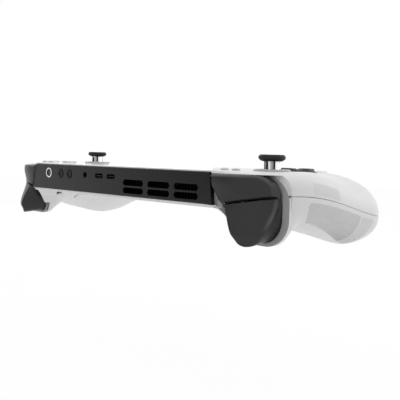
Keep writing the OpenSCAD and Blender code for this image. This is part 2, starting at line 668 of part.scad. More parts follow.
module stick_cap() color(dark) translate([0, 0, cap_z - tilt_z]) difference() {
  rotate_extrude($fn = 48) polygon([[0, 0], [cap_d / 2 - 1.3, 0], [cap_d / 2 - 0.4, 0.5],
    [cap_d / 2, 1.4], [cap_d / 2, cap_t - 1.5], [cap_d / 2 - 0.4, cap_t - 0.5],
    [cap_d / 2 - 1.3, cap_t], [cap_d / 2 - 2.2, cap_t - 0.2], [0, cap_t - 1.2]]);
}
module stick_ring() color([0.86, 0.86, 0.86]) translate([0, 0, -tilt_z]) difference() {
  union() {
    translate([0, 0, face_in - 0.2]) cylinder(d = ring_bore + 4, h = wall + 0.3, $fn = 48);
    translate([0, 0, face_z]) cylinder(d1 = ring_rim, d2 = ring_rim - 1.6, h = ring_h, $fn = 48);
  }
  translate([0, 0, -2]) cylinder(d = ring_bore, h = 12, $fn = 48);
}
module at_left_stick() translate([-lstick_x, -lstick_y, tilt_z]) children();
module at_right_stick() translate([rstick_x, -rstick_y, tilt_z]) children();

// direction pad, drawn about its rocking centre
pad_base_h = 6.7;
rock_z = board_z + pad_base_h;
module at_dpad() translate([-dpad_x, -dpad_y, rock_z]) children();
pad_top = face_z - rock_z;
module dpad() color([0.33, 0.33, 0.34]) difference() {
  union() {
    difference() {
      translate([0, 0, pad_top - 2.6]) cylinder(d1 = dpad_d - 0.6, d2 = dpad_d - 1.2, h = 3.4, $fn = 48);
      translate([0, 0, pad_top + 24.3]) sphere(r = 24.6, $fn = 64);
    }
    // raised arms
    for (a = [0 : 90 : 270]) rotate(a) difference() {
      translate([5.4, -3.6, pad_top - 0.4]) cube([5.4, 7.2, 2.5]);
      translate([4.4, -5, pad_top + 1]) rotate([0, -14, 0]) translate([0, 0, 0.4]) cube([9, 10, 4]);
    }
    for (s = [-1, 1]) translate([-2, s * 4.6 - 1, -1.9]) cube([4, 2, pad_top - 0.4]);
  }
  rod_y(2 + 2 * run, 0, -9, 9, 0, 24);
}
module dpad_core() color(steel) {
  rod_x(2, -5.6, 5.6, 0, 0, 24);
  rod_y(2, 0, -5.6, 5.6, 0, 24);
  box([-1.5, -1.5, -1.5], [1.5, 1.5, 1.5]);
}
module dpad_base() color(black) difference() {
  union() {
    box([-6.2, -6.2, -pad_base_h], [6.2, 6.2, -4.2]);
    for (s = [-1, 1]) translate([s * 4.6 - 1, -2, -4.3]) cube([2, 4, 6.1]);
  }
  rod_x(2 + 2 * run, -9, 9, 0, 0, 24);
}

// round face button: head, collar and stem
module face_button(a) color([0.86, 0.86, 0.87]) translate([face_x, -face_y, 0]) rotate(a)
  translate([face_pitch, 0, 0]) rotate(-a) {
    translate([0, 0, face_in - 1.2]) cylinder(d = face_d, h = wall + 1.2 + face_up - 0.7, $fn = 40);
    translate([0, 0, face_z + face_up - 0.71])
      cylinder(d1 = face_d, d2 = face_d - 1.8, h = 0.71, $fn = 40);
    translate([0, 0, face_in - 1.6]) cylinder(d = face_d + 1.4, h = 1.2, $fn = 40);
    translate([0, 0, board_z + 1.1 + face_travel + 0.2]) cylinder(d = 4, h = 10.6, $fn = 24);
  }
// small round button by the screen
module small_button(x) color([0.88, 0.88, 0.88]) {
  rod_z(small_d, x, -small_y, roof_z - 1, face_z + 0.9, 32);
  rod_z(small_d + 1.8, x, -small_y, roof_z - 1.4, roof_z - 0.3, 32);
  rod_z(2, x, -small_y, shelf_z + small_travel + 0.1, roof_z - 1.3, 20);
}

// flange round a bumper and trigger, with its opening
module ring_shape(x0, x1, z0, z1, ri, ro) hull() {
  for (z = [z0 + ro, z1 - ro]) translate([x1 - ro, z]) circle(r = ro, $fn = 72);
  for (z = [z0 + ri, z1 - ri]) translate([x0 + ri, z]) circle(r = ri, $fn = 48);
}
module flange_outer(grow = 0) offset(delta = grow)
  ring_shape(flange_in, flange_out, -flange_low, roof_z - seam, flange_ri, flange_r);
module flange_hole() ring_shape(hole_x0, hole_x1, hole_z0, hole_z1, hole_ri, hole_r);
module flange() color(grey) slab_y(-flange_y - flange_t, -flange_y) difference() {
  flange_outer();
  flange_hole();
}
// plate behind the flange that carries the trigger's lug
lug_x = [flange_in + 9.9, flange_out - 16];
shelf_z = -4;
cheek_x = [flange_in - 2.1, flange_in - 0.9];
bracket_top = face_in - 1.6 - face_travel - 0.3;
module bracket() color(black) difference() {
  union() {
    slab_y(-flange_y - flange_t - 2.6, -flange_y - flange_t) intersection() {
      flange_outer(-0.7);
      polygon([[flange_in - 2.7, -6.4], [flange_in + 3.3, bracket_top], [flange_out - 3.2, bracket_top],
        [flange_out - 3.2, -21.4], [flange_in + 5.8, -21.4], [flange_in + 3.8, -17.6],
        [flange_in - 2.7, -17.6]]);
    }
    box([lug_x[0], -flange_y - flange_t - 0.1, hinge_z - 2.2], [lug_x[1], -hinge_y, hinge_z + 2.2]);
    rod_x(4.4, lug_x[0], lug_x[1], -hinge_y, hinge_z, 32);
    // shelf under the small buttons
    box([mid_half - 8, -flange_y - flange_t - 0.5, shelf_z - 1.2],
      [flange_in - 0.4, -small_y + 3, shelf_z]);
    // cheek that closes the gap under the bumper
    box([cheek_x[0], -flange_y - flange_t - 0.5, -18.7], [cheek_x[1], -small_y + 3, shelf_z]);
    box([cheek_x[0], -small_y + 2.9, -18.7], [cheek_x[1], -9.4, -17.2]);
    box([flange_in - 2.7, -flange_y - flange_t - 1, -8],
      [flange_in + 5.3, -flange_y - flange_t, shelf_z]);
  }
  rod_x(hinge_pin + 2 * run, mid_half, flange_out, -hinge_y, hinge_z, 24);
}
// shoulder bumper
bump_x = hole_x1 - 0.4;
bump_flat = bump_x - bump_end;
bump_back = 1.6 - flange_y;
module bumper() color(black) difference() {
  intersection() {
    translate([0, 0, -20]) linear_extrude(22) {
      difference() {
        union() {
          translate([band_half - 0.2, -small_y + 3.9]) square([44, small_y - 3.9]);
          translate([hole_x0 + 1.1, bump_back]) square([30, -bump_back]);
        }
        difference() {
          translate([arc_x, bump_back - 0.2]) square([44, 18]);
          translate([arc_x, -arc_r]) circle(r = arc_r, $fn = 120);
        }
      }
      // flat outer end, running on from the round
      polygon([[flange_mid - 6, bump_back], [flange_mid - 6, arc_y(flange_mid - 6) - 0.4],
        [bump_flat, arc_y(bump_flat) - 0.02], [bump_x, bump_back + 0.4], [bump_x, bump_back]]);
    }
    slab_y(-30, 5) intersection() {
      polygon([[band_half + 0.55, roof_z - seam], [band_half + 5.3, -13.25], [flange_in - 0.1, -16.6],
        [bump_x, -12], [bump_x, roof_z - seam]]);
      union() {
        translate([bump_x - bump_r, roof_z - seam - bump_r]) circle(r = bump_r, $fn = 64);
        translate([mid_half - 10, -30]) square([bump_x - bump_r - mid_half + 10, 40]);
        translate([bump_x - bump_r - 3, -30]) square([20, 30 + roof_z - seam - bump_r]);
      }
    }
  }
  rod_z(hinge_pin + 2 * run, bump_pin_x, -bump_pin_y, -30, 5, 24);
}
// pins of the bumpers and triggers
module hinge_pins() color(steel) both() {
  rod_z(hinge_pin, bump_pin_x, -bump_pin_y, floor_in, roof_z, 24);
  rod_x(hinge_pin, flange_in + 3.8, flange_out - 13, -hinge_y, hinge_z, 24);
}
// trigger with a slot for the lug
module trigger_body() {
  nc = trig_cols + 1;
  ng = nc * (trig_rows + 1);
  pts = concat([for (r = [0 : trig_rows]) for (c = [0 : trig_cols]) trig_pt(r, c)],
    [for (r = [0 : trig_rows]) for (c = [0 : trig_cols]) trig_rear(r, c)]);
  function id(r, c) = r * nc + c;
  quads = concat(
    [for (r = [0 : trig_rows - 1]) for (c = [0 : trig_cols - 1])
      [id(r, c), id(r, c + 1), id(r + 1, c + 1), id(r + 1, c)]],
    [for (r = [0 : trig_rows - 1]) for (c = [0 : trig_cols - 1])
      [ng + id(r, c), ng + id(r + 1, c), ng + id(r + 1, c + 1), ng + id(r, c + 1)]],
    [for (c = [0 : trig_cols - 1]) [id(0, c), ng + id(0, c), ng + id(0, c + 1), id(0, c + 1)]],
    [for (c = [0 : trig_cols - 1])
      [id(trig_rows, c), id(trig_rows, c + 1), ng + id(trig_rows, c + 1), ng + id(trig_rows, c)]],
    [for (r = [0 : trig_rows - 1]) [id(r, 0), id(r + 1, 0), ng + id(r + 1, 0), ng + id(r, 0)]],
    [for (r = [0 : trig_rows - 1])
      [id(r, trig_cols), ng + id(r, trig_cols), ng + id(r + 1, trig_cols), id(r + 1, trig_cols)]]);
  polyhedron(points = pts, convexity = 6,
    faces = concat([for (q = quads) [q[0], q[2], q[1]]], [for (q = quads) [q[0], q[3], q[2]]]));
}
module trigger() color([0.16, 0.16, 0.165]) difference() {
  trigger_body();
  rod_x(5.4, lug_x[0] - 0.5, lug_x[1] + 0.5, -hinge_y, hinge_z, 32);
  box([lug_x[0] - 0.5, -30, hinge_z - 3.4], [lug_x[1] + 0.5, -hinge_y, hinge_z + 2.7]);
  rod_x(hinge_pin + 2 * run, mid_half, flange_out - 12.4, -hinge_y, hinge_z, 24);
}

// rear paddle that is pressed into the back and follows its shape
paddle_c = [mid_half + 5, -57];
paddle_w = 8.6;
paddle_l = 22;
module paddle_shape(grow) translate([paddle_c[0], paddle_c[1], -60]) rotate(-14) linear_extrude(50)
  round_rect(paddle_w + 2 * grow, paddle_l + 2 * grow, 2.7 + grow);
module paddle_hole() paddle_shape(slip);
module paddle() color([0.86, 0.86, 0.87]) {
  intersection() {
    paddle_shape(0);
    translate([0, 0, -paddle_up]) shell_skin(false, paddle_up + wall + 1.6);
  }
  // collar inside the back
  intersection() {
    paddle_shape(1);
    translate([0, 0, wall + 0.6]) shell_skin(false, 1);
  }
}
// slide switch that sets the trigger travel
switch_c = [mid_half + 1.6, -25.5];
switch_run = 2;
switch_w = 1.8;
module switch_hole() translate([switch_c[0], switch_c[1], 0])
  box([-switch_w / 2 - slip, -switch_run - 0.5, -40], [switch_w / 2 + slip, switch_run + 0.5, -12]);
module travel_switch() color([0.3, 0.3, 0.31]) translate([switch_c[0], switch_c[1], 0])
  box([-switch_w / 2, 0, -24.4], [switch_w / 2, switch_run, -16]);

// screws in the back
module shell_screws() color(steel) both() for (p = screw_at) {
  z = p[0] > mid_half ? -40.4 : -back_z + 0.4;
  rod_z(4.4, p[0], p[1], z, z + 1.2, 20);
  rod_z(2, p[0], p[1], z + 1.1, z + 7, 16);
}

seat() front_shell();
seat() back_shell();
seat() top_frame();
seat() display_glass();
seat() display_panel();
seat() mid_frame();
seat() main_board();
seat() heat_sink();
seat() heat_pipe();
seat() fan_housing();
seat() fan_rotor();
seat() battery_pack();
seat() storage_card();
seat() usb_sockets();
seat() audio_socket();
seat() power_button();
seat() power_ring();
seat() volume_up_button();
seat() volume_down_button();
seat() left() color(black) speaker();  // left_speaker
seat() color(black) speaker();  // right_speaker
seat() left() control_board([]);  // left_control_board
seat() control_board(  // right_control_board
  [for (a = [0 : 90 : 270]) [face_x + face_pitch * cos(a), -face_y + face_pitch * sin(a)]]);
seat() at_left_stick() stick_base();  // left_stick_base
seat() at_left_stick() stick_yoke();  // left_stick_yoke
seat() at_left_stick() stick_hub();  // left_stick_hub
seat() at_left_stick() stick_shaft();  // left_stick_shaft
seat() at_left_stick() stick_cap();  // left_stick_cap
seat() at_left_stick() stick_ring();  // left_stick_ring
seat() at_right_stick() stick_base();  // right_stick_base
seat() at_right_stick() stick_yoke();  // right_stick_yoke
seat() at_right_stick() stick_hub();  // right_stick_hub
seat() at_right_stick() stick_shaft();  // right_stick_shaft
seat() at_right_stick() stick_cap();  // right_stick_cap
seat() at_right_stick() stick_ring();  // right_stick_ring
seat() at_dpad() dpad();
seat() at_dpad() dpad_core();
seat() at_dpad() dpad_base();
seat() face_button(90);  // face_button_top
seat() face_button(0);  // face_button_right
seat() face_button(270);  // face_button_bottom
seat() face_button(180);  // face_button_left
seat() small_button(-small_x1);  // view_button
seat() small_button(-small_x2);  // left_guide_button
seat() small_button(small_x1);  // menu_button
seat() small_button(small_x2);  // right_guide_button
seat() left() flange();  // left_flange
seat() flange();  // right_flange
seat() left() bracket();  // left_bracket
seat() bracket();  // right_bracket
seat() left() bumper();  // left_bumper
seat() bumper();  // right_bumper
seat() left() trigger();  // left_trigger
seat() trigger();  // right_trigger
seat() hinge_pins();
seat() left() paddle();  // left_paddle
seat() paddle();  // right_paddle
seat() left() travel_switch();  // left_travel_switch
seat() travel_switch();  // right_travel_switch
seat() shell_screws();
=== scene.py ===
"""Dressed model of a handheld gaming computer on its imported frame.

Sizes are millimetres in the drawing's own axes: X to the player's right, Y
towards the top edge and Z out of the screen, measured from the face and the
upper edge of the black band. Bench.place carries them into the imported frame.
"""

import json
import logging
import math
from dataclasses import dataclass, replace
from enum import Enum
from functools import cache
from typing import Any, Callable, Iterable, Sequence

import bmesh
import bpy
import numpy as np
from bpy.types import Material, Node, NodeSocket, NodeTree, Object
from mathutils import Matrix, Vector
from mathutils.bvhtree import BVHTree
from mathutils.geometry import tessellate_polygon

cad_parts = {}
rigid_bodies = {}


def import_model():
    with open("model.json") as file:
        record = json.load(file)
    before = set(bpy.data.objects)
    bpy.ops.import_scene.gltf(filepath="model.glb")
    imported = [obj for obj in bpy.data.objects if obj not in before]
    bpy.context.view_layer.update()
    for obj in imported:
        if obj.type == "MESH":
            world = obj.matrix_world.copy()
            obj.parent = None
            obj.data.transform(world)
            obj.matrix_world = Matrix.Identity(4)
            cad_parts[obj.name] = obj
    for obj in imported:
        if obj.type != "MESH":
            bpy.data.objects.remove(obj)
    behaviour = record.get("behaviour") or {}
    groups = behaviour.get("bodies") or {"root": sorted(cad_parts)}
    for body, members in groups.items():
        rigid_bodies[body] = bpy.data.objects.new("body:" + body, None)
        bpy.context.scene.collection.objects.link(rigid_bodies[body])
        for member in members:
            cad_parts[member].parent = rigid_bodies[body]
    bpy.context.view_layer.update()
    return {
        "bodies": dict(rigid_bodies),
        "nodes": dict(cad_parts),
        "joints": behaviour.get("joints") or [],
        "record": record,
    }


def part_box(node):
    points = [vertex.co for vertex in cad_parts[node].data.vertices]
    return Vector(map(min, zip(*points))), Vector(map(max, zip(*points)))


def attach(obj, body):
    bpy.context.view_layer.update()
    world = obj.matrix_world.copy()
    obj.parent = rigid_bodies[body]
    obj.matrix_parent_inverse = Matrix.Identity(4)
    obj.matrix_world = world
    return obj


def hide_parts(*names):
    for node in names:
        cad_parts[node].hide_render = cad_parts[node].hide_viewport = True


LOG = logging.getLogger("handheld")
MM = 0.001
FACE = 1.2
# Places beyond the body, where cutting tools begin and end
OUTSIDE, BELOW, ABOVE = 160.0, -60.0, 6.0
Colour = tuple[float, float, float]
Pair = tuple[float, float]
Triple = tuple[float, float, float]


class Side(Enum):
    """Side of the body, as the player holds it."""

    LEFT = -1
    RIGHT = 1

    @property
    def word(self) -> str:
        """Name of the side as the frame's nodes spell it."""
        return self.name.lower()


class Axis(Enum):
    """Direction that a plate faces or a turned piece runs along."""

    Y = "y"
    Z = "z"


class Carve(Enum):
    """How a second solid changes a first."""

    AWAY = "DIFFERENCE"
    JOIN = "UNION"
    KEEP = "INTERSECT"


# Small sums


def ease(t: Any) -> Any:
    """Smooth step from 0 to 1."""
    c = np.clip(t, 0.0, 1.0)
    return c * c * (3.0 - 2.0 * c)


def ramp(value: np.ndarray, span: Pair) -> np.ndarray:
    """Eased rise of a value that begins at the span's start and takes its length."""
    return ease((value - span[0]) / span[1])


def edge_profile(q: Any) -> Any:
    """Rounded edge of a shell: 0 at the rim, 1 on the flat."""
    c = np.clip(q, 0.0, 1.0)
    return (1.0 - (1.0 - c) ** 2.2) ** (1.0 / 2.2)


def inset(loop: np.ndarray, by: float) -> np.ndarray:
    """Moves a closed loop to its left with mitred corners.

    Args:
        loop: corners of the loop, N by 2.
        by: distance in millimetres.

    Returns:
        The moved corners, in the same order.
    """
    step = np.roll(loop, -1, 0) - loop
    step = step / np.maximum(np.linalg.norm(step, axis=1, keepdims=True), 1e-9)
    left = np.stack([-step[:, 1], step[:, 0]], 1)
    before = np.roll(left, 1, 0)
    share = 1.0 + np.sum(left * before, 1, keepdims=True)
    return loop + (left + before) / np.maximum(share, 0.35) * by


def area(loop: np.ndarray) -> float:
    """Signed area of a closed loop."""
    x, y = loop[:, 0], loop[:, 1]
    return 0.5 * float(np.sum(x * np.roll(y, -1) - np.roll(x, -1) * y))


def round_corners(corners: Sequence[Pair], radii: Sequence[float], steps: int = 6) -> np.ndarray:
    """Rounds the corners of a polygon.

    Args:
        corners: the polygon's corners.
        radii: one radius for each corner.
        steps: pieces of each arc.

    Returns:
        The rounded loop, N by 2.
    """
    pts = np.array(corners, float)
    out: list[np.ndarray] = []
    for i, p in enumerate(pts):
        a = pts[i - 1] - p
        b = pts[(i + 1) % len(pts)] - p
        a, b = a / np.linalg.norm(a), b / np.linalg.norm(b)
        half = 0.5 * math.acos(float(np.clip(a @ b, -1, 1)))
        r = radii[i]
        if r <= 0 or half > 1.55:
            out.append(p)
            continue
        mid = p + (a + b) / np.linalg.norm(a + b) * (r / math.sin(half))
        ta, tb = p + a * r / math.tan(half) - mid, p + b * r / math.tan(half) - mid
        turn = math.acos(float(np.clip(ta @ tb / r / r, -1, 1)))
        for k in range(steps + 1):
            f = k / steps
            out.append(mid + (math.sin((1 - f) * turn) * ta + math.sin(f * turn) * tb) / math.sin(turn))
    return np.array(out)


def round_rect(
    width: float, height: float, radius: float, at: Pair = (0, 0), turn: float = 0.0
) -> np.ndarray:
    """Rectangle with rounded corners about a point, turned by degrees.

    Args:
        width: first size.
        height: second size.
        radius: corner radius.
        at: middle.
        turn: turn in degrees.

    Returns:
        The closed loop, N by 2.
    """
    w, h = width / 2, height / 2
    loop = round_corners([(-w, -h), (w, -h), (w, h), (-w, h)], [radius] * 4, 8)
    c, s = math.cos(math.radians(turn)), math.sin(math.radians(turn))
    return loop @ np.array([[c, s], [-s, c]]) + np.array(at)


def circle(radius: float, at: Pair = (0, 0), steps: int = 64) -> np.ndarray:
    """Round loop about a point."""
    a = np.linspace(0, 2 * math.pi, steps, endpoint=False)
    return np.stack([at[0] + radius * np.cos(a), at[1] + radius * np.sin(a)], 1)


# Loose meshes


@dataclass
class Form:
    """Vertices in millimetres and the faces on them."""

    verts: np.ndarray
    faces: list[tuple[int, ...]]

    def on(self, side: Side) -> "Form":
        """The form as drawn for the right side, or mirrored for the left."""
        return Form(self.verts * np.array([side.value, 1, 1]), self.faces)

    def plus(self, *others: "Form") -> "Form":
        """This form and others as one loose mesh.

        Args:
            others: forms to add.

        Returns:
            One form with all of them.
        """
        verts, faces = [self.verts], list(self.faces)
        count = len(self.verts)
        for other in others:
            faces += [tuple(i + count for i in f) for f in other.faces]
            verts.append(other.verts)
            count += len(other.verts)
        return Form(np.concatenate(verts), faces)


def strip(first: int, second: int, count: int) -> list[tuple[int, ...]]:
    """Quads between two closed rings of vertices."""
    return [(first + i, first + (i + 1) % count, second + (i + 1) % count, second + i) for i in range(count)]


def lathe(
    profile: Sequence[Pair], at: Triple, axis: Axis = Axis.Z, steps: int = 96, ring: bool = False
) -> Form:
    """Turned form.

    Args:
        profile: (radius, height) points, from end to end.
        at: the axis's own origin.
        axis: direction of the height.
        steps: pieces round the axis.
        ring: closes the profile on itself instead of at the axis.

    Returns:
        A closed form.
    """
    a = np.linspace(0, 2 * math.pi, steps, endpoint=False)
    rows = []
    for r, h in profile:
        flat = [r * np.cos(a), r * np.sin(a), np.full(steps, h)]
        rows.append(np.stack(flat if axis is Axis.Z else [flat[0], flat[2], flat[1]], 1))
    verts = np.concatenate(rows) + np.array(at)
    n = len(profile)
    faces = [f for k in range(n - 1) for f in strip(k * steps, (k + 1) * steps, steps)]
    if ring:
        faces += strip((n - 1) * steps, 0, steps)
    return Form(verts, faces)


def plate(
    loops: Sequence[np.ndarray], low: float, high: float, axis: Axis, soft: Pair = (0, 0), steps: int = 4
) -> Form:
    """Flat piece with openings and softened edges.

    Args:
        loops: the outline first, then the openings.
        low: start along the axis.
        high: end along the axis.
        axis: direction that the plate faces.
        soft: radius of the edges at the low and the high face.
        steps: pieces of each rounded edge.

    Returns:
        A closed form.
    """
    turned = [l if (area(l) > 0) == (i == 0) else l[::-1] for i, l in enumerate(loops)]
    rows: list[Pair] = []
    for k in range(steps + 1 if soft[0] > 0 else 1):
        a = math.pi / 2 * k / steps
        rows.append((soft[0] * (1 - math.sin(a)), low + soft[0] * (1 - math.cos(a))))
    for k in range(steps + 1 if soft[1] > 0 else 1):
        a = math.pi / 2 * (1 - k / steps) if soft[1] > 0 else 0
        rows.append((soft[1] * (1 - math.sin(a)), high - soft[1] * (1 - math.cos(a))))
    if soft[0] <= 0:
        rows[0] = (0.0, low)
    if soft[1] <= 0:
        rows[-1] = (0.0, high)
    verts: list[np.ndarray] = []
    starts: list[list[int]] = []
    count = 0
    for by, h in rows:
        starts.append([])
        for loop in turned:
            flat = inset(loop, by)
            starts[-1].append(count)
            tall = np.full(len(flat), h)
            x, y = flat[:, 0], flat[:, 1]
            verts.append(np.stack([x, y, tall] if axis is Axis.Z else [x, tall, y], 1))
            count += len(flat)
    faces: list[tuple[int, ...]] = []
    for k in range(len(rows) - 1):
        for j, loop in enumerate(turned):
            faces += strip(starts[k][j], starts[k + 1][j], len(loop))
    for k in (0, len(rows) - 1):
        flat = [[Vector((p[0], p[1], 0)) for p in inset(loop, rows[k][0])] for loop in turned]
        faces += [tuple(i + starts[k][0] for i in t) for t in tessellate_polygon(flat)]
    return Form(np.concatenate(verts), faces)


def prism_x(outline: Sequence[Pair], low: float, high: float) -> Form:
    """Straight solid along X from an outline in Y and Z.

    Args:
        outline: corners in Y and Z.
        low: lower end.
        high: upper end.

    Returns:
        The closed form.
    """
    n = len(outline)
    verts = np.array([(x, p[0], p[1]) for x in (low, high) for p in outline], float)
    flat = [[Vector((p[0], p[1], 0)) for p in outline]]
    caps = [tuple(t) for t in tessellate_polygon(flat)]
    return Form(verts, strip(0, n, n) + caps + [tuple(i + n for i in t) for t in caps])


def block(low: Triple, high: Triple) -> Form:
    """Square block from its low to its high corner, as a cutting tool."""
    loop = np.array([(low[0], low[1]), (high[0], low[1]), (high[0], high[1]), (low[0], high[1])], float)
    return plate([loop], low[2], high[2], Axis.Z)


def grid_solid(front: np.ndarray, rear: np.ndarray) -> Form:
    """Solid between two grids of points, each R by C by 3.

    Args:
        front: points of the front.
        rear: points of the rear.

    Returns:
        The closed form.
    """
    rows, cols = front.shape[:2]
    verts = np.concatenate([front.reshape(-1, 3), rear.reshape(-1, 3)])
    n = rows * cols
    faces: list[tuple[int, ...]] = []
    for r in range(rows - 1):
        for c in range(cols - 1):
            q = (r * cols + c, r * cols + c + 1, (r + 1) * cols + c + 1, (r + 1) * cols + c)
            faces += [q, tuple(i + n for i in q)]
    border = [c for c in range(cols)] + [r * cols + cols - 1 for r in range(1, rows)]
    border += [(rows - 1) * cols + c for c in range(cols - 2, -1, -1)]
    border += [r * cols for r in range(rows - 2, 0, -1)]
    for i, a in enumerate(border):
        b = border[(i + 1) % len(border)]
        faces.append((a, b, b + n, a + n))
    return Form(verts, faces)


# Node networks


class Net:
    """Node network that is written down node by node."""

    def __init__(self, tree: NodeTree) -> None:
        """Takes over an empty tree."""
        self.tree = tree

    def add(self, kind: str, inputs: dict[Any, Any] | None = None, **settings: Any) -> Node:
        """Adds a node, with its settings and its input values or links.

        Args:
            kind: the node's type.
            inputs: value, or output socket, for each input by name or number.
            settings: the node's own properties.

        Returns:
            The new node.
        """
        node = self.tree.nodes.new(kind)
        for key, value in settings.items():
            setattr(node, key, value)
        for key, value in (inputs or {}).items():
            if isinstance(value, NodeSocket):
                self.link(value, node.inputs[key])
            else:
                node.inputs[key].default_value = value
        return node

    def math(self, operation: str, *values: Any) -> NodeSocket:
        """Output of a new math node."""
        return self.add("ShaderNodeMath", dict(enumerate(values)), operation=operation).outputs[0]

    def mix(self, share: Any, first: Any, second: Any, blend: str = "MIX") -> NodeSocket:
        """Output of a new colour mix."""
        inputs = {0: share, 6: first, 7: second}
        return self.add("ShaderNodeMix", inputs, data_type="RGBA", blend_type=blend).outputs[2]

    def noise(self, vector: Any, scale: Any, detail: float = 2.0, roughness: float = 0.5) -> NodeSocket:
        """Output of a new noise texture."""
        inputs = {"Vector": vector, "Scale": scale, "Detail": detail, "Roughness": roughness}
        return self.add("ShaderNodeTexNoise", inputs).outputs[0]

    def stretch(self, value: NodeSocket) -> NodeSocket:
        """Middle range of a noise, spread over 0 to 1."""
        inputs = {"Value": value, "From Min": 0.3, "From Max": 0.7}
        return self.add("ShaderNodeMapRange", inputs).outputs[0]

    def link(self, source: NodeSocket, target: NodeSocket) -> None:
        """Links an output to an input."""
        self.tree.links.new(source, target)

    def socket(self, name: str, kind: str, out: bool = False, value: Any = None) -> None:
        """Adds a named input or output to a group.

        Args:
            name: its name.
            kind: its socket type.
            out: output or input.
            value: starting value.
        """
        made = self.tree.interface.new_socket(name, in_out="OUTPUT" if out else "INPUT", socket_type=kind)
        if value is not None:
            made.default_value = value


def shader_group(name: str, inputs: dict[str, tuple[str, Any]], outputs: dict[str, str]) -> tuple[Net, Any]:
    """New shader group.

    Args:
        name: name of the group.
        inputs: kind and starting value of each input.
        outputs: kind of each output.

    Returns:
        The net that writes the group and the sockets that bring its inputs.
    """
    net = Net(bpy.data.node_groups.new(name, "ShaderNodeTree"))
    for word, (kind, value) in inputs.items():
        net.socket(word, f"NodeSocket{kind}", value=value)
    for word, kind in outputs.items():
        net.socket(word, f"NodeSocket{kind}", out=True)
    return net, net.add("NodeGroupInput").outputs


class SurfaceGroups:
    """Effects that several finishes share, each built once."""

    @staticmethod
    @cache
    def grain() -> NodeTree:
        """Spark-eroded mould grain: a fine height and a slow patchiness.

        Returns:
            The shader group.
        """
        inputs = {"Vector": ("Vector", None), "Fineness": ("Float", 2500.0), "Patch Size": ("Float", 40.0)}
        net, come = shader_group("mould_grain", inputs, {"Height": "Float", "Patch": "Float"})
        fine = net.noise(come["Vector"], come["Fineness"], 2.0, 0.6)
        slow = net.noise(come["Vector"], come["Patch Size"], 3.0)
        net.add("NodeGroupOutput", {"Height": fine, "Patch": net.stretch(slow)})
        return net.tree

    @staticmethod
    @cache
    def handling() -> NodeTree:
        """Faint handling marks: shifts a colour and a roughness by a patch mask.

        Returns:
            The shader group.
        """
        inputs = {"Patch": ("Float", None), "Clean": ("Color", None), "Handled": ("Color", None)}
        inputs |= {"Roughness": ("Float", 0.5), "Polish": ("Float", 0.05)}
        net, come = shader_group("handling_marks", inputs, {"Colour": "Color", "Surface": "Float"})
        tone = net.mix(come["Patch"], come["Clean"], come["Handled"])
        rub = net.math("MULTIPLY", come["Patch"], come["Polish"])
        left = net.math("SUBTRACT", come["Roughness"], rub)
        net.add("NodeGroupOutput", {"Colour": tone, "Surface": left})
        return net.tree

    @staticmethod
    @cache
    def brushed() -> NodeTree:
        """Fine drawn lines of worked metal.

        Returns:
            The shader group.
        """
        inputs = {"Vector": ("Vector", None), "Stretch": ("Vector", (60.0, 2500.0, 2500.0))}
        net, come = shader_group("drawn_lines", inputs, {"Height": "Float", "Patch": "Float"})
        pull = {0: come["Vector"], 1: come["Stretch"]}
        drawn = net.add("ShaderNodeVectorMath", pull, operation="MULTIPLY")
        lines, slow = net.noise(drawn.outputs[0], 1.0), net.noise(come["Vector"], 90.0)
        net.add("NodeGroupOutput", {"Height": lines, "Patch": net.stretch(slow)})
        return net.tree


# Finishes


@dataclass(frozen=True)
class Finish:
    """Moulded finish with grain and faint handling marks."""

    name: str
    colour: Colour
    roughness: float
    shift: float = 0.03
    polish: float = 0.05
    fineness: float = 2600.0
    depth: float = 0.012
    patch: float = 40.0
    metallic: float = 0.0
    specular: float = 0.5
    coat: float = 0.0

    def tones(self) -> tuple[tuple[float, ...], tuple[float, ...]]:
        """Clean and handled colour.

        Returns:
            Both colours, with alpha.
        """
        clean = tuple(min(c * (1 + self.shift), 1.0) for c in self.colour) + (1.0,)
        worn = tuple(c * (1 - self.shift) for c in self.colour) + (1.0,)
        return clean, worn

    def texture(self, net: Net, coords: NodeSocket) -> Node:
        """Group node that gives a Height and a Patch."""
        inputs = {"Vector": coords, "Fineness": self.fineness, "Patch Size": self.patch}
        return net.add("ShaderNodeGroup", inputs, node_tree=SurfaceGroups.grain())

    def extra(self, net: Net, shader: Node, coords: NodeSocket) -> None:
        """Room for what only one kind of finish has."""

    def material(self) -> Material:
        """The finish as a material, built at first use.

        Returns:
            The node material.
        """
        found = bpy.data.materials.get(self.name)
        if found is not None:
            return found
        made = bpy.data.materials.new(self.name)
        made.use_nodes = True
        made.diffuse_color = (*self.colour, 1.0)
        net = Net(made.node_tree)
        shader = next(n for n in made.node_tree.nodes if n.type == "BSDF_PRINCIPLED")
        coords = net.add("ShaderNodeTexCoord").outputs["Object"]
        skin = self.texture(net, coords)
        clean, handled = self.tones()
        inputs = {"Patch": skin.outputs["Patch"], "Clean": clean, "Handled": handled}
        inputs |= {"Roughness": self.roughness, "Polish": self.polish}
        marks = net.add("ShaderNodeGroup", inputs, node_tree=SurfaceGroups.handling())
        relief = {"Height": skin.outputs["Height"], "Strength": 1.0, "Distance": self.depth * MM}
        bump = net.add("ShaderNodeBump", relief)
        net.link(marks.outputs["Colour"], shader.inputs["Base Color"])
        net.link(marks.outputs["Surface"], shader.inputs["Roughness"])
        net.link(bump.outputs["Normal"], shader.inputs["Normal"])
        shader.inputs["Metallic"].default_value = self.metallic
        shader.inputs["Specular IOR Level"].default_value = self.specular
        shader.inputs["Coat Weight"].default_value = self.coat
        self.extra(net, shader, coords)
        return made


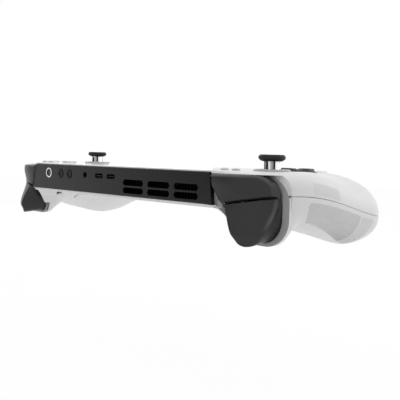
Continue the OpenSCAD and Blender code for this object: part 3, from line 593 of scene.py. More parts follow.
@dataclass(frozen=True)
class EdgeFinish(Finish):
    """Moulded finish with a highlight painted into its colour along marked edges."""

    # Most that the painted highlight multiplies the colour by
    rub: float = 3.2

    def extra(self, net: Net, shader: Node, coords: NodeSocket) -> None:
        """Paints a highlight: lightens the base colour by the edge value that a mesh carries.

        Args:
            net: the material's net.
            shader: its Principled BSDF.
            coords: its Object coordinates; not used.
        """
        edge = net.add("ShaderNodeAttribute", attribute_name="edge").outputs["Fac"]
        gain = net.add("ShaderNodeMapRange", {"Value": edge, "To Min": 1.0, "To Max": self.rub})
        base = shader.inputs["Base Color"].links[0].from_socket
        tone = net.add("ShaderNodeVectorMath", {0: base, 1: gain.outputs[0]}, operation="MULTIPLY")
        net.link(tone.outputs[0], shader.inputs["Base Color"])


@dataclass(frozen=True)
class MetalFinish(Finish):
    """Worked metal with drawn lines."""

    metallic: float = 1.0
    stretch: Triple = (60.0, 2500.0, 2500.0)

    def texture(self, net: Net, coords: NodeSocket) -> Node:
        """Group node that gives the drawn lines."""
        inputs = {"Vector": coords, "Stretch": self.stretch}
        return net.add("ShaderNodeGroup", inputs, node_tree=SurfaceGroups.brushed())


@dataclass(frozen=True)
class ChromeFinish(MetalFinish):
    """Polished round bar with upright streaks of reflection painted into its colour."""

    front: float = 37.0
    streaks: tuple[Pair, ...] = (
        (0.0, 0.1), (0.2, 0.1), (0.24, 0.35), (0.27, 0.012), (0.33, 0.012), (0.355, 1.0), (0.41, 0.9),
        (0.44, 0.5), (0.56, 0.2), (0.585, 0.012), (0.635, 0.012), (0.66, 1.0), (0.93, 0.95), (0.97, 0.3),
    )

    def extra(self, net: Net, shader: Node, coords: NodeSocket) -> None:
        """Paints dark reflection streaks into the bar's colour by the direction that its surface faces.

        Args:
            net: the material's net.
            shader: its Principled BSDF.
            coords: its Object coordinates; not used.
        """
        facing = net.add("ShaderNodeTexCoord").outputs["Normal"]
        split = net.add("ShaderNodeSeparateXYZ", {0: facing})
        turn = net.math("ARCTAN2", split.outputs[1], split.outputs[0])
        halves = net.math("MULTIPLY_ADD", turn, 1 / math.pi, 2 - self.front / 180)
        # Painted reflection: dark and bright streaks by the angle round the bar
        painted_reflection = net.add("ShaderNodeValToRGB", {0: net.math("FRACT", halves)})
        stops = painted_reflection.color_ramp.elements
        while len(stops) < len(self.streaks):
            stops.new(1.0)
        for stop, (at, shade) in zip(stops, self.streaks):
            stop.position, stop.color = at, (shade, shade, shade, 1.0)
        base = shader.inputs["Base Color"].links[0].from_socket
        net.link(net.mix(1.0, base, painted_reflection.outputs[0], "MULTIPLY"), shader.inputs["Base Color"])


@dataclass(frozen=True)
class ScreenFinish(Finish):
    """Black cover glass whose picture area is a shade lighter than its border."""

    border: Colour = (0.002, 0.002, 0.002)
    picture: Pair = (168.0, 96.0)
    middle: Pair = (0.0, 0.0)

    def extra(self, net: Net, shader: Node, coords: NodeSocket) -> None:
        """Marks off the picture area.

        Args:
            net: the material's net.
            shader: its Principled BSDF.
            coords: its Object coordinates.
        """
        split = net.add("ShaderNodeSeparateXYZ", {0: coords})
        masks = []
        for i, (size, mid) in enumerate(zip(self.picture, self.middle)):
            far = net.math("ABSOLUTE", net.math("SUBTRACT", split.outputs[i], mid * MM))
            masks.append(net.math("LESS_THAN", far, size / 2 * MM))
        base = shader.inputs["Base Color"].links[0].from_socket
        tone = net.mix(net.math("MULTIPLY", *masks), (*self.border, 1.0), base)
        net.link(tone, shader.inputs["Base Color"])


@dataclass(frozen=True)
class LightFinish(Finish):
    """Milky light guide that glows a little."""

    glow: float = 0.3

    def extra(self, net: Net, shader: Node, coords: NodeSocket) -> None:
        """Adds the glow."""
        shader.inputs["Emission Color"].default_value = (*self.colour, 1.0)
        shader.inputs["Emission Strength"].default_value = self.glow


@dataclass(frozen=True)
class BoardFinish(Finish):
    """Lacquered circuit board with a maze of tracks under the lacquer."""

    track: Colour = (0.05, 0.24, 0.13)

    def extra(self, net: Net, shader: Node, coords: NodeSocket) -> None:
        """Draws the tracks.

        Args:
            net: the material's net.
            shader: its Principled BSDF.
            coords: its Object coordinates.
        """
        kind = {"distance": "MANHATTAN", "feature": "DISTANCE_TO_EDGE"}
        cells = net.add("ShaderNodeTexVoronoi", {"Vector": coords, "Scale": 420.0}, **kind)
        line = net.math("LESS_THAN", cells.outputs["Distance"], 0.08)
        base = shader.inputs["Base Color"].links[0].from_socket
        net.link(net.mix(line, base, (*self.track, 1.0)), shader.inputs["Base Color"])


WHITE = Finish("shell_white", (0.78, 0.78, 0.78), 0.45, 0.012, 0.05, 2600, 0.010, 30, specular=0.35)
# Grip lines are greyer than the shell: painted shade that stands in for the shadows between the ridges
GRIP_SHADE = Finish("grip_grey", (0.54, 0.54, 0.54), 0.6, 0.05, 0.05, 2600, 0.010, 60, specular=0.2)
FAINT_SHADE = Finish("grip_pale", (0.74, 0.74, 0.74), 0.55, 0.03, 0.05, 2600, 0.010, 60, specular=0.25)
BAND = Finish("band_plastic", (0.006, 0.006, 0.0063), 0.30, 0.08, 0.03, 3000, 0.002, 60, specular=0.3)
# Bumpers and triggers paint highlights into this colour through their edge values
CONTROL = EdgeFinish("control_black", (0.027, 0.027, 0.0274), 0.34, 0.08, 0.04, 3200, 0.004, 70, specular=0.3)
VOLUME = Finish("volume_black", (0.004, 0.004, 0.0043), 0.42, 0.08, 0.06, 3200, 0.006, 70, specular=0.16)
PORT = Finish("port_black", (0.005, 0.005, 0.0055), 0.5, 0.1, 0.05, 3000, 0.006, 80, specular=0.2)
FLANGE = Finish("flange_grey", (0.33, 0.33, 0.333), 0.45, 0.03, 0.05, 2800, 0.008, 50)
HUB = Finish("hub_grey", (0.35, 0.35, 0.36), 0.5, 0.04)
RUBBER = Finish("thumb_rubber", (0.026, 0.020, 0.022), 0.6, 0.10, 0.08, 2200, 0.03, 160, specular=0.25)
SKIRT = Finish("skirt_rubber", (0.012, 0.012, 0.013), 0.6, 0.1, 0.05, 2200, 0.02, 120)
PAD = Finish("pad_plastic", (0.030, 0.030, 0.032), 0.42, 0.06, 0.06, 3000, 0.008, 90, specular=0.4)
KEY_WHITE = Finish("key_white", (0.70, 0.70, 0.705), 0.36, 0.015, 0.05, 3000, 0.006, 60)
COLLAR = Finish("collar_grey", (0.46, 0.46, 0.465), 0.3, 0.03, 0.05, 3000, 0.005, 60)
UPRIGHT = (300.0, 300.0, 4000.0)
# The shaft's streaks are painted reflections of the room
BRIGHT = ChromeFinish("bright_shaft", (0.9, 0.9, 0.91), 0.16, 0.02, 0.04, depth=0.002, stretch=UPRIGHT)
STEEL = MetalFinish("plain_steel", (0.52, 0.52, 0.53), 0.34, 0.06, 0.06, depth=0.006)
ALUMINIUM = MetalFinish("sheet_aluminium", (0.62, 0.62, 0.63), 0.38, 0.05, 0.05, depth=0.006)
COPPER = MetalFinish("drawn_copper", (0.72, 0.34, 0.2), 0.3, 0.1, 0.08, depth=0.006)
BLACK_METAL = Finish("black_anodised", (0.003, 0.003, 0.0033), 0.6, 0.1, 0.05, 3000, 0.004, 80, specular=0.08)
SCREEN = ScreenFinish("screen_glass", (0.008, 0.008, 0.010), 0.05, 0.05, 0.02, 900, 0.0005, 20, coat=0.6)
PANEL = Finish("picture_panel", (0.02, 0.02, 0.022), 0.3, 0.05)
FILM = Finish("cell_film", (0.05, 0.05, 0.055), 0.4, 0.08, 0.08, 1800, 0.02, 70)
BOARD = BoardFinish("board_green", (0.02, 0.11, 0.065), 0.35, 0.06, 0.05, 1500, 0.01, 120)
LIGHT = LightFinish("light_guide", (0.9, 0.9, 0.92), 0.3, 0.01, 0.02, 2600, 0.003, 40)

SLOT_FINISH: dict[str, Finish] = {
    "white_shell": WHITE,
    "band_black": BAND,
    "button_black": CONTROL,
    "glass": SCREEN,
    "panel": PANEL,
    "aluminium": ALUMINIUM,
    "black_metal": BLACK_METAL,
    "copper": COPPER,
    "board": BOARD,
    "cell": FILM,
    "steel": STEEL,
    "light_ring": LIGHT,
    "grey_plastic": HUB,
    "bright": BRIGHT,
    "cap_rubber": RUBBER,
    "ring_white": KEY_WHITE,
    "pad_grey": PAD,
}
NODE_FINISH: dict[str, Finish] = {"usb_sockets": PORT, "audio_socket": PORT}


# The bench


class Bench:
    """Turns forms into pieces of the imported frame."""

    def __init__(self, frame: dict[str, Any]) -> None:
        """Reads the drawing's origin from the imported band.
        """
        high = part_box("top_frame")[1]
        self.origin = np.array([0.0, high[1], high[2]])
        self.frame = frame
        self.slot_of = {s["node"]: s["material_slot"] for s in frame["record"]["subparts"]}
        self.count = 0

    def place(self, points: np.ndarray) -> np.ndarray:
        """Millimetres of the drawing to metres of the frame."""
        return np.asarray(points, float) * MM + self.origin

    def solid(self, name: str, form: Form, merge: float = 1e-6) -> Object:
        """Closed mesh object from a form.

        Args:
            name: name of the object.
            form: vertices and faces.
            merge: distance within which vertices are joined, in metres.

        Returns:
            The object, at the origin, with its place in its mesh.
        """
        mesh = bpy.data.meshes.new(name)
        mesh.from_pydata(self.place(form.verts).tolist(), [], form.faces)
        work = bmesh.new()
        work.from_mesh(mesh)
        bmesh.ops.remove_doubles(work, verts=work.verts, dist=merge)
        bmesh.ops.dissolve_degenerate(work, edges=work.edges, dist=1e-8)
        bmesh.ops.recalc_face_normals(work, faces=work.faces)
        work.to_mesh(mesh)
        work.free()
        piece = bpy.data.objects.new(name, mesh)
        bpy.context.scene.collection.objects.link(piece)
        return piece

    def bake(self, piece: Object) -> None:
        """Turns a piece's modifiers into a plain mesh.

        Args:
            piece: the object.
        """
        bpy.context.view_layer.update()
        deps = bpy.context.evaluated_depsgraph_get()
        mesh = bpy.data.meshes.new_from_object(piece.evaluated_get(deps))
        old = piece.data
        piece.modifiers.clear()
        piece.data = mesh
        mesh.name = old.name
        bpy.data.meshes.remove(old)

    def carve(self, piece: Object, form: Form, how: Carve) -> None:
        """Cuts away, joins or keeps a second form.

        Args:
            piece: the object that changes.
            form: the second solid.
            how: what happens to it.
        """
        tool = self.solid("carving_tool", form)
        mod = piece.modifiers.new("carve", "BOOLEAN")
        mod.operation = how.value
        mod.solver = "MANIFOLD"
        mod.object = tool
        before = len(piece.data.vertices)
        self.bake(piece)
        LOG.debug("%s %s: %d -> %d", piece.name, how.name, before, len(piece.data.vertices))
        bpy.data.objects.remove(tool)

    def carve_both(self, piece: Object, form: Form, how: Carve) -> None:
        """Carves a form of the right side and its mirror image."""
        self.carve(piece, form.on(Side.LEFT).plus(form.on(Side.RIGHT)), how)

    def rub(self, piece: Object, share: Callable[[np.ndarray], np.ndarray]) -> None:
        """Writes each vertex's share of painted highlight, from its place in the drawing.

        Args:
            piece: the object.
            share: gives the painted highlight from 0 to 1.
        """
        verts = np.array([v.co[:] for v in piece.data.vertices])
        layer = piece.data.attributes.new("edge", "FLOAT", "POINT")
        layer.data.foreach_set("value", share((verts - self.origin) / MM).astype(np.float32))

    def shade(self, piece: Object, angle: float = 32.0) -> None:
        """Smooth shading up to an angle in degrees."""
        piece.data.shade_smooth()
        piece.data.set_sharp_from_angle(angle=math.radians(angle))

    def fit(
        self,
        piece: Object,
        body: str,
        finish: Finish,
        slot: str,
        nodes: Iterable[str] = (),
        angle: float = 32.0,
    ) -> Object:
        """Dresses a piece and hangs it on its body.

        Args:
            piece: the finished mesh object.
            body: body that it moves with.
            finish: its finish.
            slot: the record's material slot that the finish stands for; not used.
            nodes: nodes that it replaces.
            angle: largest angle that is shaded smooth, or 0 to leave the shading.

        Returns:
            The same object.
        """
        if angle:
            self.shade(piece, angle)
        piece.data.materials.clear()
        piece.data.materials.append(finish.material())
        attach(piece, body)
        names = list(nodes)
        if names:
            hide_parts(*names)
        self.count += 1
        LOG.info("%s: %d faces on %s", piece.name, len(piece.data.polygons), body)
        return piece

    def put(self, name: str, form: Form, *fitting: Any) -> Object:
        """Makes a solid and fits it, with the further arguments of fit."""
        return self.fit(self.solid(name, form), *fitting)

    def dress_nodes(self) -> None:
        """Gives every node of the frame the finish of its slot."""
        for name, node in self.frame["nodes"].items():
            finish = NODE_FINISH.get(name, SLOT_FINISH[self.slot_of[name]])
            for place in node.material_slots:
                place.material = finish.material()


class Growth:
    """Geometry node trees for what repeats or follows a surface."""

    @staticmethod
    def _tree(name: str, **inputs: tuple[str, Any]) -> tuple[Net, Any]:
        """New geometry tree.

        Args:
            name: name of the tree.
            inputs: kind and starting value of each input of its own.

        Returns:
            The net that writes the tree and the sockets that bring its inputs.
        """
        net = Net(bpy.data.node_groups.new(name, "GeometryNodeTree"))
        net.socket("Geometry", "NodeSocketGeometry")
        net.socket("Geometry", "NodeSocketGeometry", out=True)
        for word, (kind, value) in inputs.items():
            net.socket(word, f"NodeSocket{kind}", value=value)
        net.socket("Material", "NodeSocketMaterial")
        return net, net.add("NodeGroupInput").outputs

    @staticmethod
    def _finish(net: Net, come: Any, geometry: NodeSocket) -> NodeTree:
        """Ends a tree in Realize Instances and Set Material.

        Args:
            net: the tree's net.
            come: its input sockets.
            geometry: what it ends with.

        Returns:
            The finished tree.
        """
        real = net.add("GeometryNodeRealizeInstances", {"Geometry": geometry})
        dressing = {"Geometry": real.outputs[0], "Material": come["Material"]}
        dress = net.add("GeometryNodeSetMaterial", dressing)
        net.add("NodeGroupOutput", {"Geometry": dress.outputs[0]})
        return net.tree

    @classmethod
    def raised_lines(cls) -> NodeTree:
        """Turns loose edges into raised lines of a given radius.

        Returns:
            The geometry tree.
        """
        net, come = cls._tree("raised_lines", Radius=("Float", 0.0002), Sides=("Int", 6))
        wire = net.add("GeometryNodeMeshToCurve", {"Mesh": come["Geometry"]})
        size = {"Resolution": come["Sides"], "Radius": come["Radius"]}
        hoop = net.add("GeometryNodeCurvePrimitiveCircle", size)
        sweep = {"Curve": wire.outputs[0], "Profile Curve": hoop.outputs[0], "Fill Caps": True}
        tube = net.add("GeometryNodeCurveToMesh", sweep)
        return cls._finish(net, come, tube.outputs[0])

    @classmethod
    def set_on_points(cls) -> NodeTree:
        """Sets a part on every vertex, each turned about Z by a seeded amount.

        Returns:
            The geometry tree.
        """
        net, come = cls._tree("set_on_points", Part=("Object", None), Seed=("Int", 7))
        spots = net.add("GeometryNodeMeshToPoints", {"Mesh": come["Geometry"]})
        part = net.add("GeometryNodeObjectInfo", {"Object": come["Part"]})
        draw = {"Max": (0.0, 0.0, math.pi), "Seed": come["Seed"]}
        turn = net.add("FunctionNodeRandomValue", draw, data_type="FLOAT_VECTOR")
        copies = {"Points": spots.outputs[0], "Instance": part.outputs["Geometry"]}
        put = net.add("GeometryNodeInstanceOnPoints", {**copies, "Rotation": turn.outputs[0]})
        return cls._finish(net, come, put.outputs[0])

    @classmethod
    def ridge_ring(cls) -> NodeTree:
        """Sets a ridge round a circle about every vertex.

        Returns:
            The geometry tree.
        """
        own = {"Part": ("Object", None), "Count": ("Int", 48), "Radius": ("Float", 0.006)}
        net, come = cls._tree("ridge_ring", **own)
        size = {"Resolution": come["Count"], "Radius": come["Radius"]}
        hoop = net.add("GeometryNodeCurvePrimitiveCircle", size)
        spots = net.add("GeometryNodeCurveToPoints", {"Curve": hoop.outputs[0]}, mode="EVALUATED")
        part = net.add("GeometryNodeObjectInfo", {"Object": come["Part"]})
        index = net.add("GeometryNodeInputIndex")
        step = net.math("DIVIDE", 2 * math.pi, come["Count"])
        turn = net.add("ShaderNodeCombineXYZ", {"Z": net.math("MULTIPLY", index.outputs[0], step)})
        copies = {"Points": spots.outputs[0], "Instance": part.outputs["Geometry"]}
        ring = net.add("GeometryNodeInstanceOnPoints", {**copies, "Rotation": turn.outputs[0]})
        rings = {"Points": come["Geometry"], "Instance": ring.outputs[0]}
        put = net.add("GeometryNodeInstanceOnPoints", rings)
        return cls._finish(net, come, put.outputs[0])

    @staticmethod
    def grow(bench: Bench, piece: Object, tree: NodeTree, **values: Any) -> None:
        """Runs a tree on a piece and keeps the plain mesh.

        Args:
            bench: the bench that bakes it.
            piece: object that carries the starting geometry.
            tree: the geometry tree.
            values: the tree's inputs by name.
        """
        mod = piece.modifiers.new("growth", "NODES")
        mod.node_group = tree
        idents = {
            item.name: item.identifier
            for item in tree.interface.items_tree
            if item.item_type == "SOCKET" and item.in_out == "INPUT"
        }
        for key, value in values.items():
            mod[idents[key]] = value
        bench.bake(piece)


# The body form


@dataclass
class BodyForm:
    """Sizes of the two shells and the surfaces that they give."""

    half_width: float = 149.5
    depth: float = 127.5
    face: float = FACE
    back: float = 21.0
    mid: float = 100.0
    wide: float = 95.0
    top_round: float = 3.6
    low_round: float = 2.8
    low_set: float = 5.5
    wall: float = 2.0
    gap: float = 0.3
    palm: float = 26.0
    groove: float = 10.0
    front: float = 20.2
    part_top: float = 12.0
    part_fall: float = 16.0
    face_round: float = 16.0
    grip_round: float = 32.0
    ring_round: float = 14.0
    palm_round: float = 20.0
    spine_half: float = 98.0
    spine_y: float = -62.0
    step: float = 1.7
    rings: int = 44
    ring_power: float = 2.1
    low_span: Pair = (-95.0, 25.0)
    part_span: Pair = (85.0, 25.0)
    fall_span: Pair = (22.0, 103.0)
    part_mid: float = 10.0
    near_span: Pair = (22.0, 43.0)
    rise_from: Pair = (98.0, -16.0)
    rise_to: Pair = (110.0, 26.0)
    front_span: Pair = (119.0, 15.0)
    front_reach: Pair = (8.0, 14.0)
    front_y: float = -21.0
    front_power: float = 1.6
    palm_span: Pair = (24.0, 70.0)
    grip_span: Pair = (95.0, 25.0)
    down_span: Pair = (30.0, 75.0)
    mid_round: Pair = (3.0, 2.2)

    def corner(self, low: bool) -> np.ndarray:
        """One rounded corner of the plan, evenly stepped.

        Args:
            low: lower or upper corner.

        Returns:
            Points from the side to the edge, N by 2.
        """
        n = self.low_round if low else self.top_round
        reach = -(self.depth - self.wide) if low else self.wide
        a = np.linspace(0, math.pi / 2, 2400)
        x = self.mid + (self.half_width - self.mid) * np.cos(a) ** (2 / n)
        y = -self.wide + reach * np.sin(a) ** (2 / n)
        run = np.concatenate([[0], np.cumsum(np.hypot(np.diff(x), np.diff(y)))])
        at = np.linspace(0, run[-1], int(run[-1] / self.step) + 1)
        return np.stack([np.interp(at, run, x), np.interp(at, run, y)], 1)

    def plan(self) -> np.ndarray:
        """Outline of the body seen from above, as a closed loop.

        Returns:
            The closed loop, N by 2.
        """
        xs = np.linspace(0, self.spine_half, 64)
        low = -self.depth + self.low_set * ramp(-xs, self.low_span)
        half = np.concatenate(
            [
                np.stack([xs, 0 * xs], 1),
                self.corner(False)[::-1],
                self.corner(True)[1:],
                np.stack([xs, low], 1)[::-1],
            ]
        )
        return np.concatenate([half, half[-2:0:-1] * np.array([-1, 1])])

    def parting(self, p: np.ndarray) -> np.ndarray:
        """Height of the line between the shells at plan points.

        Args:
            p: plan points, N by 2.

        Returns:
            One height for each point.
        """
        grip = ramp(np.abs(p[:, 0]), self.part_span)
        fall = self.part_fall * ramp(-p[:, 1], self.fall_span)
        return grip * (-self.part_top - fall) - (1 - grip) * self.part_mid

    def back_height(self, x: np.ndarray, y: np.ndarray) -> np.ndarray:
        """Outer surface of the back, before its edges are rounded.

        Args:
            x: places along X.
            y: places along Y.

        Returns:
            Heights, in the same shape.
        """
        near = ramp(-y, self.near_span)
        x0, x1 = (base + more * near for base, more in (self.rise_from, self.rise_to))
        rise = ease((np.abs(x) - x0) / (x1 - x0))
        reach = self.front_reach[0] + self.front_reach[1] * (1 - ramp(np.abs(x), self.front_span))
        front = (1 - np.clip((self.front_y - y) / reach, 0, 1)) ** self.front_power
        palm = self.groove + (self.palm - self.groove) * ramp(-y, self.palm_span)
        return -self.back - rise * (palm + (self.front - self.groove) * front)

    def rounding(self, p: np.ndarray, up: bool) -> np.ndarray:
        """Edge radius at plan points.

        Args:
            p: plan points, N by 2.
            up: front shell or back shell.

        Returns:
            One radius for each point.
        """
        grip = ramp(np.abs(p[:, 0]), self.grip_span)
        down = ramp(-p[:, 1], self.down_span)
        if up:
            return self.mid_round[0] * (1 - grip) + grip * (self.face_round + self.grip_round * down)
        return self.mid_round[1] * (1 - grip) + grip * (self.ring_round + self.palm_round * down)

    def places(self, count: int) -> np.ndarray:
        """Places from the spine to the rim, closer together at the rim."""
        return np.tile(1 - np.linspace(1, 0, self.rings) ** self.ring_power, (count, 1))

    def skin(self, p: np.ndarray, t: np.ndarray, deep: float, up: bool, drop: float = 0.0) -> np.ndarray:
        """Points of a shell surface.

        Args:
            p: plan points, N by 2.
            t: places from the spine (0) to the rim (1), N by K.
            deep: depth below the outer surface.
            up: front shell or back shell.
            drop: extra opening at the parting line.

        Returns:
            Points, N by K by 3.
        """
        along = np.clip(p[:, 0], -self.spine_half, self.spine_half)
        s = np.stack([along, np.full(len(p), self.spine_y)], 1)
        ray = p - s
        length = np.linalg.norm(ray, axis=1)
        full = (length - deep)[:, None]
        xy = s[:, None, :] + (ray / length[:, None])[:, None, :] * (t * full)[..., None]
        part = (self.parting(p) + (1 if up else -1) * (self.gap / 2 + drop))[:, None]
        r = np.maximum(self.rounding(p, up) - deep, 1.0)[:, None]
        top = self.face - deep if up else self.back_height(xy[..., 0], xy[..., 1]) + deep
        z = part + (top - part) * edge_profile((1 - t) * full / r)
        return np.concatenate([xy, z[..., None]], 2)

    def shell(self, up: bool, wall: float | None = None, deep: float = 0.0, drop: float = 0.0) -> Form:
        """Closed shell between two depths.

        Args:
            up: front shell or back shell.
            wall: inner depth, the wall if not given.
            deep: outer depth.
            drop: extra opening at the parting line.

        Returns:
            The shell as a closed form.
        """
        p = self.plan()
        n = len(p)
        t = self.places(n)
        skins = [self.skin(p, t, d, up, drop) for d in (deep, self.wall if wall is None else wall)]
        verts = np.concatenate([s.transpose(1, 0, 2).reshape(-1, 3) for s in skins])
        faces: list[tuple[int, ...]] = []
        for start in (0, n * self.rings):
            for k in range(self.rings - 1):
                faces += strip(start + k * n, start + (k + 1) * n, n)
        last = (self.rings - 1) * n
        faces += strip(last, last + n * self.rings, n)
        return Form(verts, faces)

    def tree(self, up: bool) -> BVHTree:
        """Search tree of an outer surface, in millimetres.

        Args:
            up: front shell or back shell.

        Returns:
            The tree.
        """
        p = self.plan()
        n = len(p)
        t = self.places(n)
        verts = self.skin(p, t, 0.0, up).transpose(1, 0, 2).reshape(-1, 3)
        faces = [f for k in range(self.rings - 1) for f in strip(k * n, (k + 1) * n, n)]
        return BVHTree.FromPolygons(verts.tolist(), faces)


def band_outline(half: float = 96.1, height: float = 18.8) -> np.ndarray:
    """Front view of the band with its leaning ends."""
    right = [(half, 0), (half + 2.4, -height - 0.3), (92.6, -height)]
    return np.array(right + [(-x, z) for x, z in right[::-1]], float)[::-1]


# The clusters


@dataclass
class Cluster:
    """Bumper, trigger and flange at one upper corner."""

    flange_y: float = -17.0
    flange_t: float = 1.6
    flange_in: float = 106.7
    flange_out: float = 141.4
    flange_low: float = -41.7
    flange_top: float = -0.9
    flange_radii: Pair = (7.0, 16.0)
    hole_in: float = 108.4
    hole_out: float = 136.8
    hole_low: float = -39.8
    hole_top: float = -3.6
    hole_radii: Pair = (6.0, 14.0)
    sleeve: float = 0.5
    skin: float = 0.5
    arc_x: float = 103.0
    arc_r: float = 40.0
    flat_x: float = 126.3
    crease_x: float = 132.5
    tip: float = 40.9
    trigger_in: Pair = (105.6, -18.4)
    trigger_out: Pair = (134.4, -13.3)
    flare: float = 5.4
    side_in: float = 12.8
    side_power: float = 2.4
    sleeve_deep: float = 2.3
    rim_deep: float = 2.4
    rim_t: float = 1.2
    bumper_slip: float = 0.4
    bumper_rear: float = -15.7
    bumper_bevel: float = 1.9
    crease_y: Pair = (-10.5, -15.1)
    bumper_step: float = 0.9
    step_span: Pair = (114.0, 12.0)
    bumper_lean: float = 2.0
    lean_span: Pair = (5.0, 11.0)
    inner_run: Pair = (12.2, 0.75)
    inner_tip: Pair = (2.8, 0.86)
    trigger_back: float = 1.6
    flare_span: Pair = (14.0, 20.0)
    tuck: float = 2.6
    tuck_span: Pair = (33.5, 6.8)

    @property
    def bumper_end(self) -> float:
        """Outer end of a bumper."""
        return self.hole_out - self.bumper_slip

    @staticmethod
    def ring(x0: float, x1: float, z0: float, z1: float, radii: Pair) -> np.ndarray:
        """Outline with small inner and large outer corners."""
        ri, ro = radii
        return round_corners([(x0, z0), (x1, z0), (x1, z1), (x0, z1)], [ri, ro, ro, ri], 18)

    def outer(self, grow: float = 0.0) -> np.ndarray:
        """Outline of the flange."""
        loop = self.ring(self.flange_in, self.flange_out, self.flange_low, self.flange_top, self.flange_radii)
        return inset(loop, -grow)

    def hole(self) -> np.ndarray:
        """Opening of the flange."""
        return self.ring(self.hole_in, self.hole_out, self.hole_low, self.hole_top, self.hole_radii)

    def arc(self, x: np.ndarray) -> np.ndarray:
        """Plan curve that bumper and trigger share."""
        far = np.maximum(x - self.arc_x, 0)
        return np.sqrt(np.maximum(self.arc_r**2 - far**2, 1)) - self.arc_r

    def flange_form(self) -> Form:
        """Flat grey ring with soft edges."""
        return plate([self.outer(), self.hole()], self.flange_y - self.skin, self.flange_y, Axis.Y, (0, 0.3))

    def sleeve_form(self) -> Form:
        """Short sleeve that lines the wall behind the ring.

        Returns:
            The closed form.
        """
        back = self.flange_y - self.flange_t
        loops = [inset(self.hole(), -self.sleeve), self.hole()]
        return plate(loops, back - self.sleeve_deep, self.flange_y - self.skin / 2, Axis.Y)

    def rim_form(self, low: float, high: float) -> Form:
        """White rim behind the ring between two heights.

        Args:
            low: lower height.
            high: upper height.

        Returns:
            The rim as a closed form on the right side.
        """
        rows = [self.outer(-0.02), inset(self.outer(), self.rim_t)]
        rows = [r[(r[:, 1] > low) & (r[:, 1] < high) & (r[:, 0] > self.flange_in + 6)] for r in rows]
        loop = np.concatenate([rows[0], rows[1][::-1]])
        return plate([loop], self.flange_y - self.rim_deep, self.flange_y - self.skin, Axis.Y)

    def bumper_front(self, x: np.ndarray) -> np.ndarray:
        """Plan curve of the bumper's face, with the crease at its outer end.

        Args:
            x: places along X.

        Returns:
            Places along Y.
        """
        knots = [self.flat_x, self.crease_x, self.bumper_end]
        ends = [float(self.arc(np.array(self.flat_x))), *self.crease_y]
        return np.where(x < self.flat_x, self.arc(x), np.interp(x, knots, ends))

    def bumper_loop(self) -> np.ndarray:
        """Outline of a bumper, seen from its front.

        Returns:
            The closed loop, N by 2.
        """
        end = self.bumper_end
        corners = [(96.5, -0.9), (98.2, -8.1), (100.8, -14.3), (104.8, -17.7), (end, -12.0), (end, -0.9)]
        return round_corners(corners, [1.2, 6.0, 3.0, 1.5, 1.2, 13.0], 12)

    def bumper_rub(self, verts: np.ndarray) -> np.ndarray:
        """Share of painted highlight on a bumper: its upper edge and the facet at its outer end.

        Args:
            verts: places in the drawing, N by 3.

        Returns:
            Shares from 0 to 1.
        """
        flat = np.stack([np.abs(verts[:, 0]), verts[:, 2]], 1)
        loop = self.bumper_loop()
        ahead = np.roll(loop, -1, 0) - loop
        part = np.clip(((flat[:, None] - loop) * ahead).sum(2) / np.maximum((ahead**2).sum(1), 1e-9), 0, 1)
        deep = np.linalg.norm(flat[:, None] - loop - part[:, :, None] * ahead, axis=2).min(1)
        line = ramp(deep, (0.1, 0.35)) * (1 - ramp(deep, (0.9, 0.8))) * ramp(flat[:, 1], (-9, 4))
        return np.maximum(0.8 * line, 0.5 * ramp(flat[:, 0], (self.crease_x, 0.5)))

    def trigger_side(self, k: np.ndarray) -> np.ndarray:
        """Outer side of a trigger from its hinge (0) to its tip (1)."""
        return self.trigger_out[0] - self.side_in * (1 - np.sqrt(1 - k**self.side_power))

    def trigger_rub(self, verts: np.ndarray) -> np.ndarray:
        """Share of painted highlight on a trigger: the crease along its outer side.

        Args:
            verts: places in the drawing, N by 3.

        Returns:
            Shares from 0 to 1.
        """
        x, z = np.abs(verts[:, 0]), verts[:, 2]
        k = np.clip((self.trigger_out[1] - z) / (self.trigger_out[1] + self.tip + 0.5), 0, 1)
        deep = self.trigger_side(k) - x
        line = ramp(deep, (0.05, 0.3)) * (1 - ramp(deep, (1.2, 0.8)))
        return line * (1 - ramp(k, (0.42, 0.3))) * (verts[:, 1] > self.flange_y)

    def bumper_form(self) -> Form:
        """Curved bumper with a broad soft edge.

        Returns:
            The closed form.
        """
        rear, bevel = self.bumper_rear, self.bumper_bevel
        flat = plate([self.bumper_loop()], rear, 0.0, Axis.Y, (0, bevel), 6)
        work = bmesh.new()
        rows = [work.verts.new(v) for v in flat.verts]
        for f in flat.faces:
            work.faces.new([rows[i] for i in f])
        across = (*np.arange(100, 135.6, 0.8), self.crease_x, self.flat_x, self.arc_x)
        cuts = [((float(x), 0, 0), (1, 0, 0)) for x in across]
        cuts += [((0, 0, z), (0, 0, 1)) for z in (-3.0, -5.0, -7.5, -10.0, -12.5)]
        for at, way in cuts:
            parts = work.verts[:] + work.edges[:] + work.faces[:]
            bmesh.ops.bisect_plane(work, geom=parts, plane_co=at, plane_no=way, dist=1e-5)
        work.verts.index_update()
        verts = np.array([v.co[:] for v in work.verts])
        faces = [tuple(v.index for v in f.verts) for f in work.faces]
        work.free()
        x, y = verts[:, 0], verts[:, 1]
        back = np.where(x < 109.5, np.interp(x, [107.5, 109.5], [-10.1, rear]), rear)
        front = self.bumper_front(x) + self.bumper_step * (1 - ramp(x, self.step_span))
        front = front - self.bumper_lean * ramp(-verts[:, 2], self.lean_span)
        share = np.clip((front - back - 0.25) / bevel, 0.05, 1)
        verts[:, 1] = np.where(y > rear + 0.1, front + y * share, back)
        return Form(verts, faces)

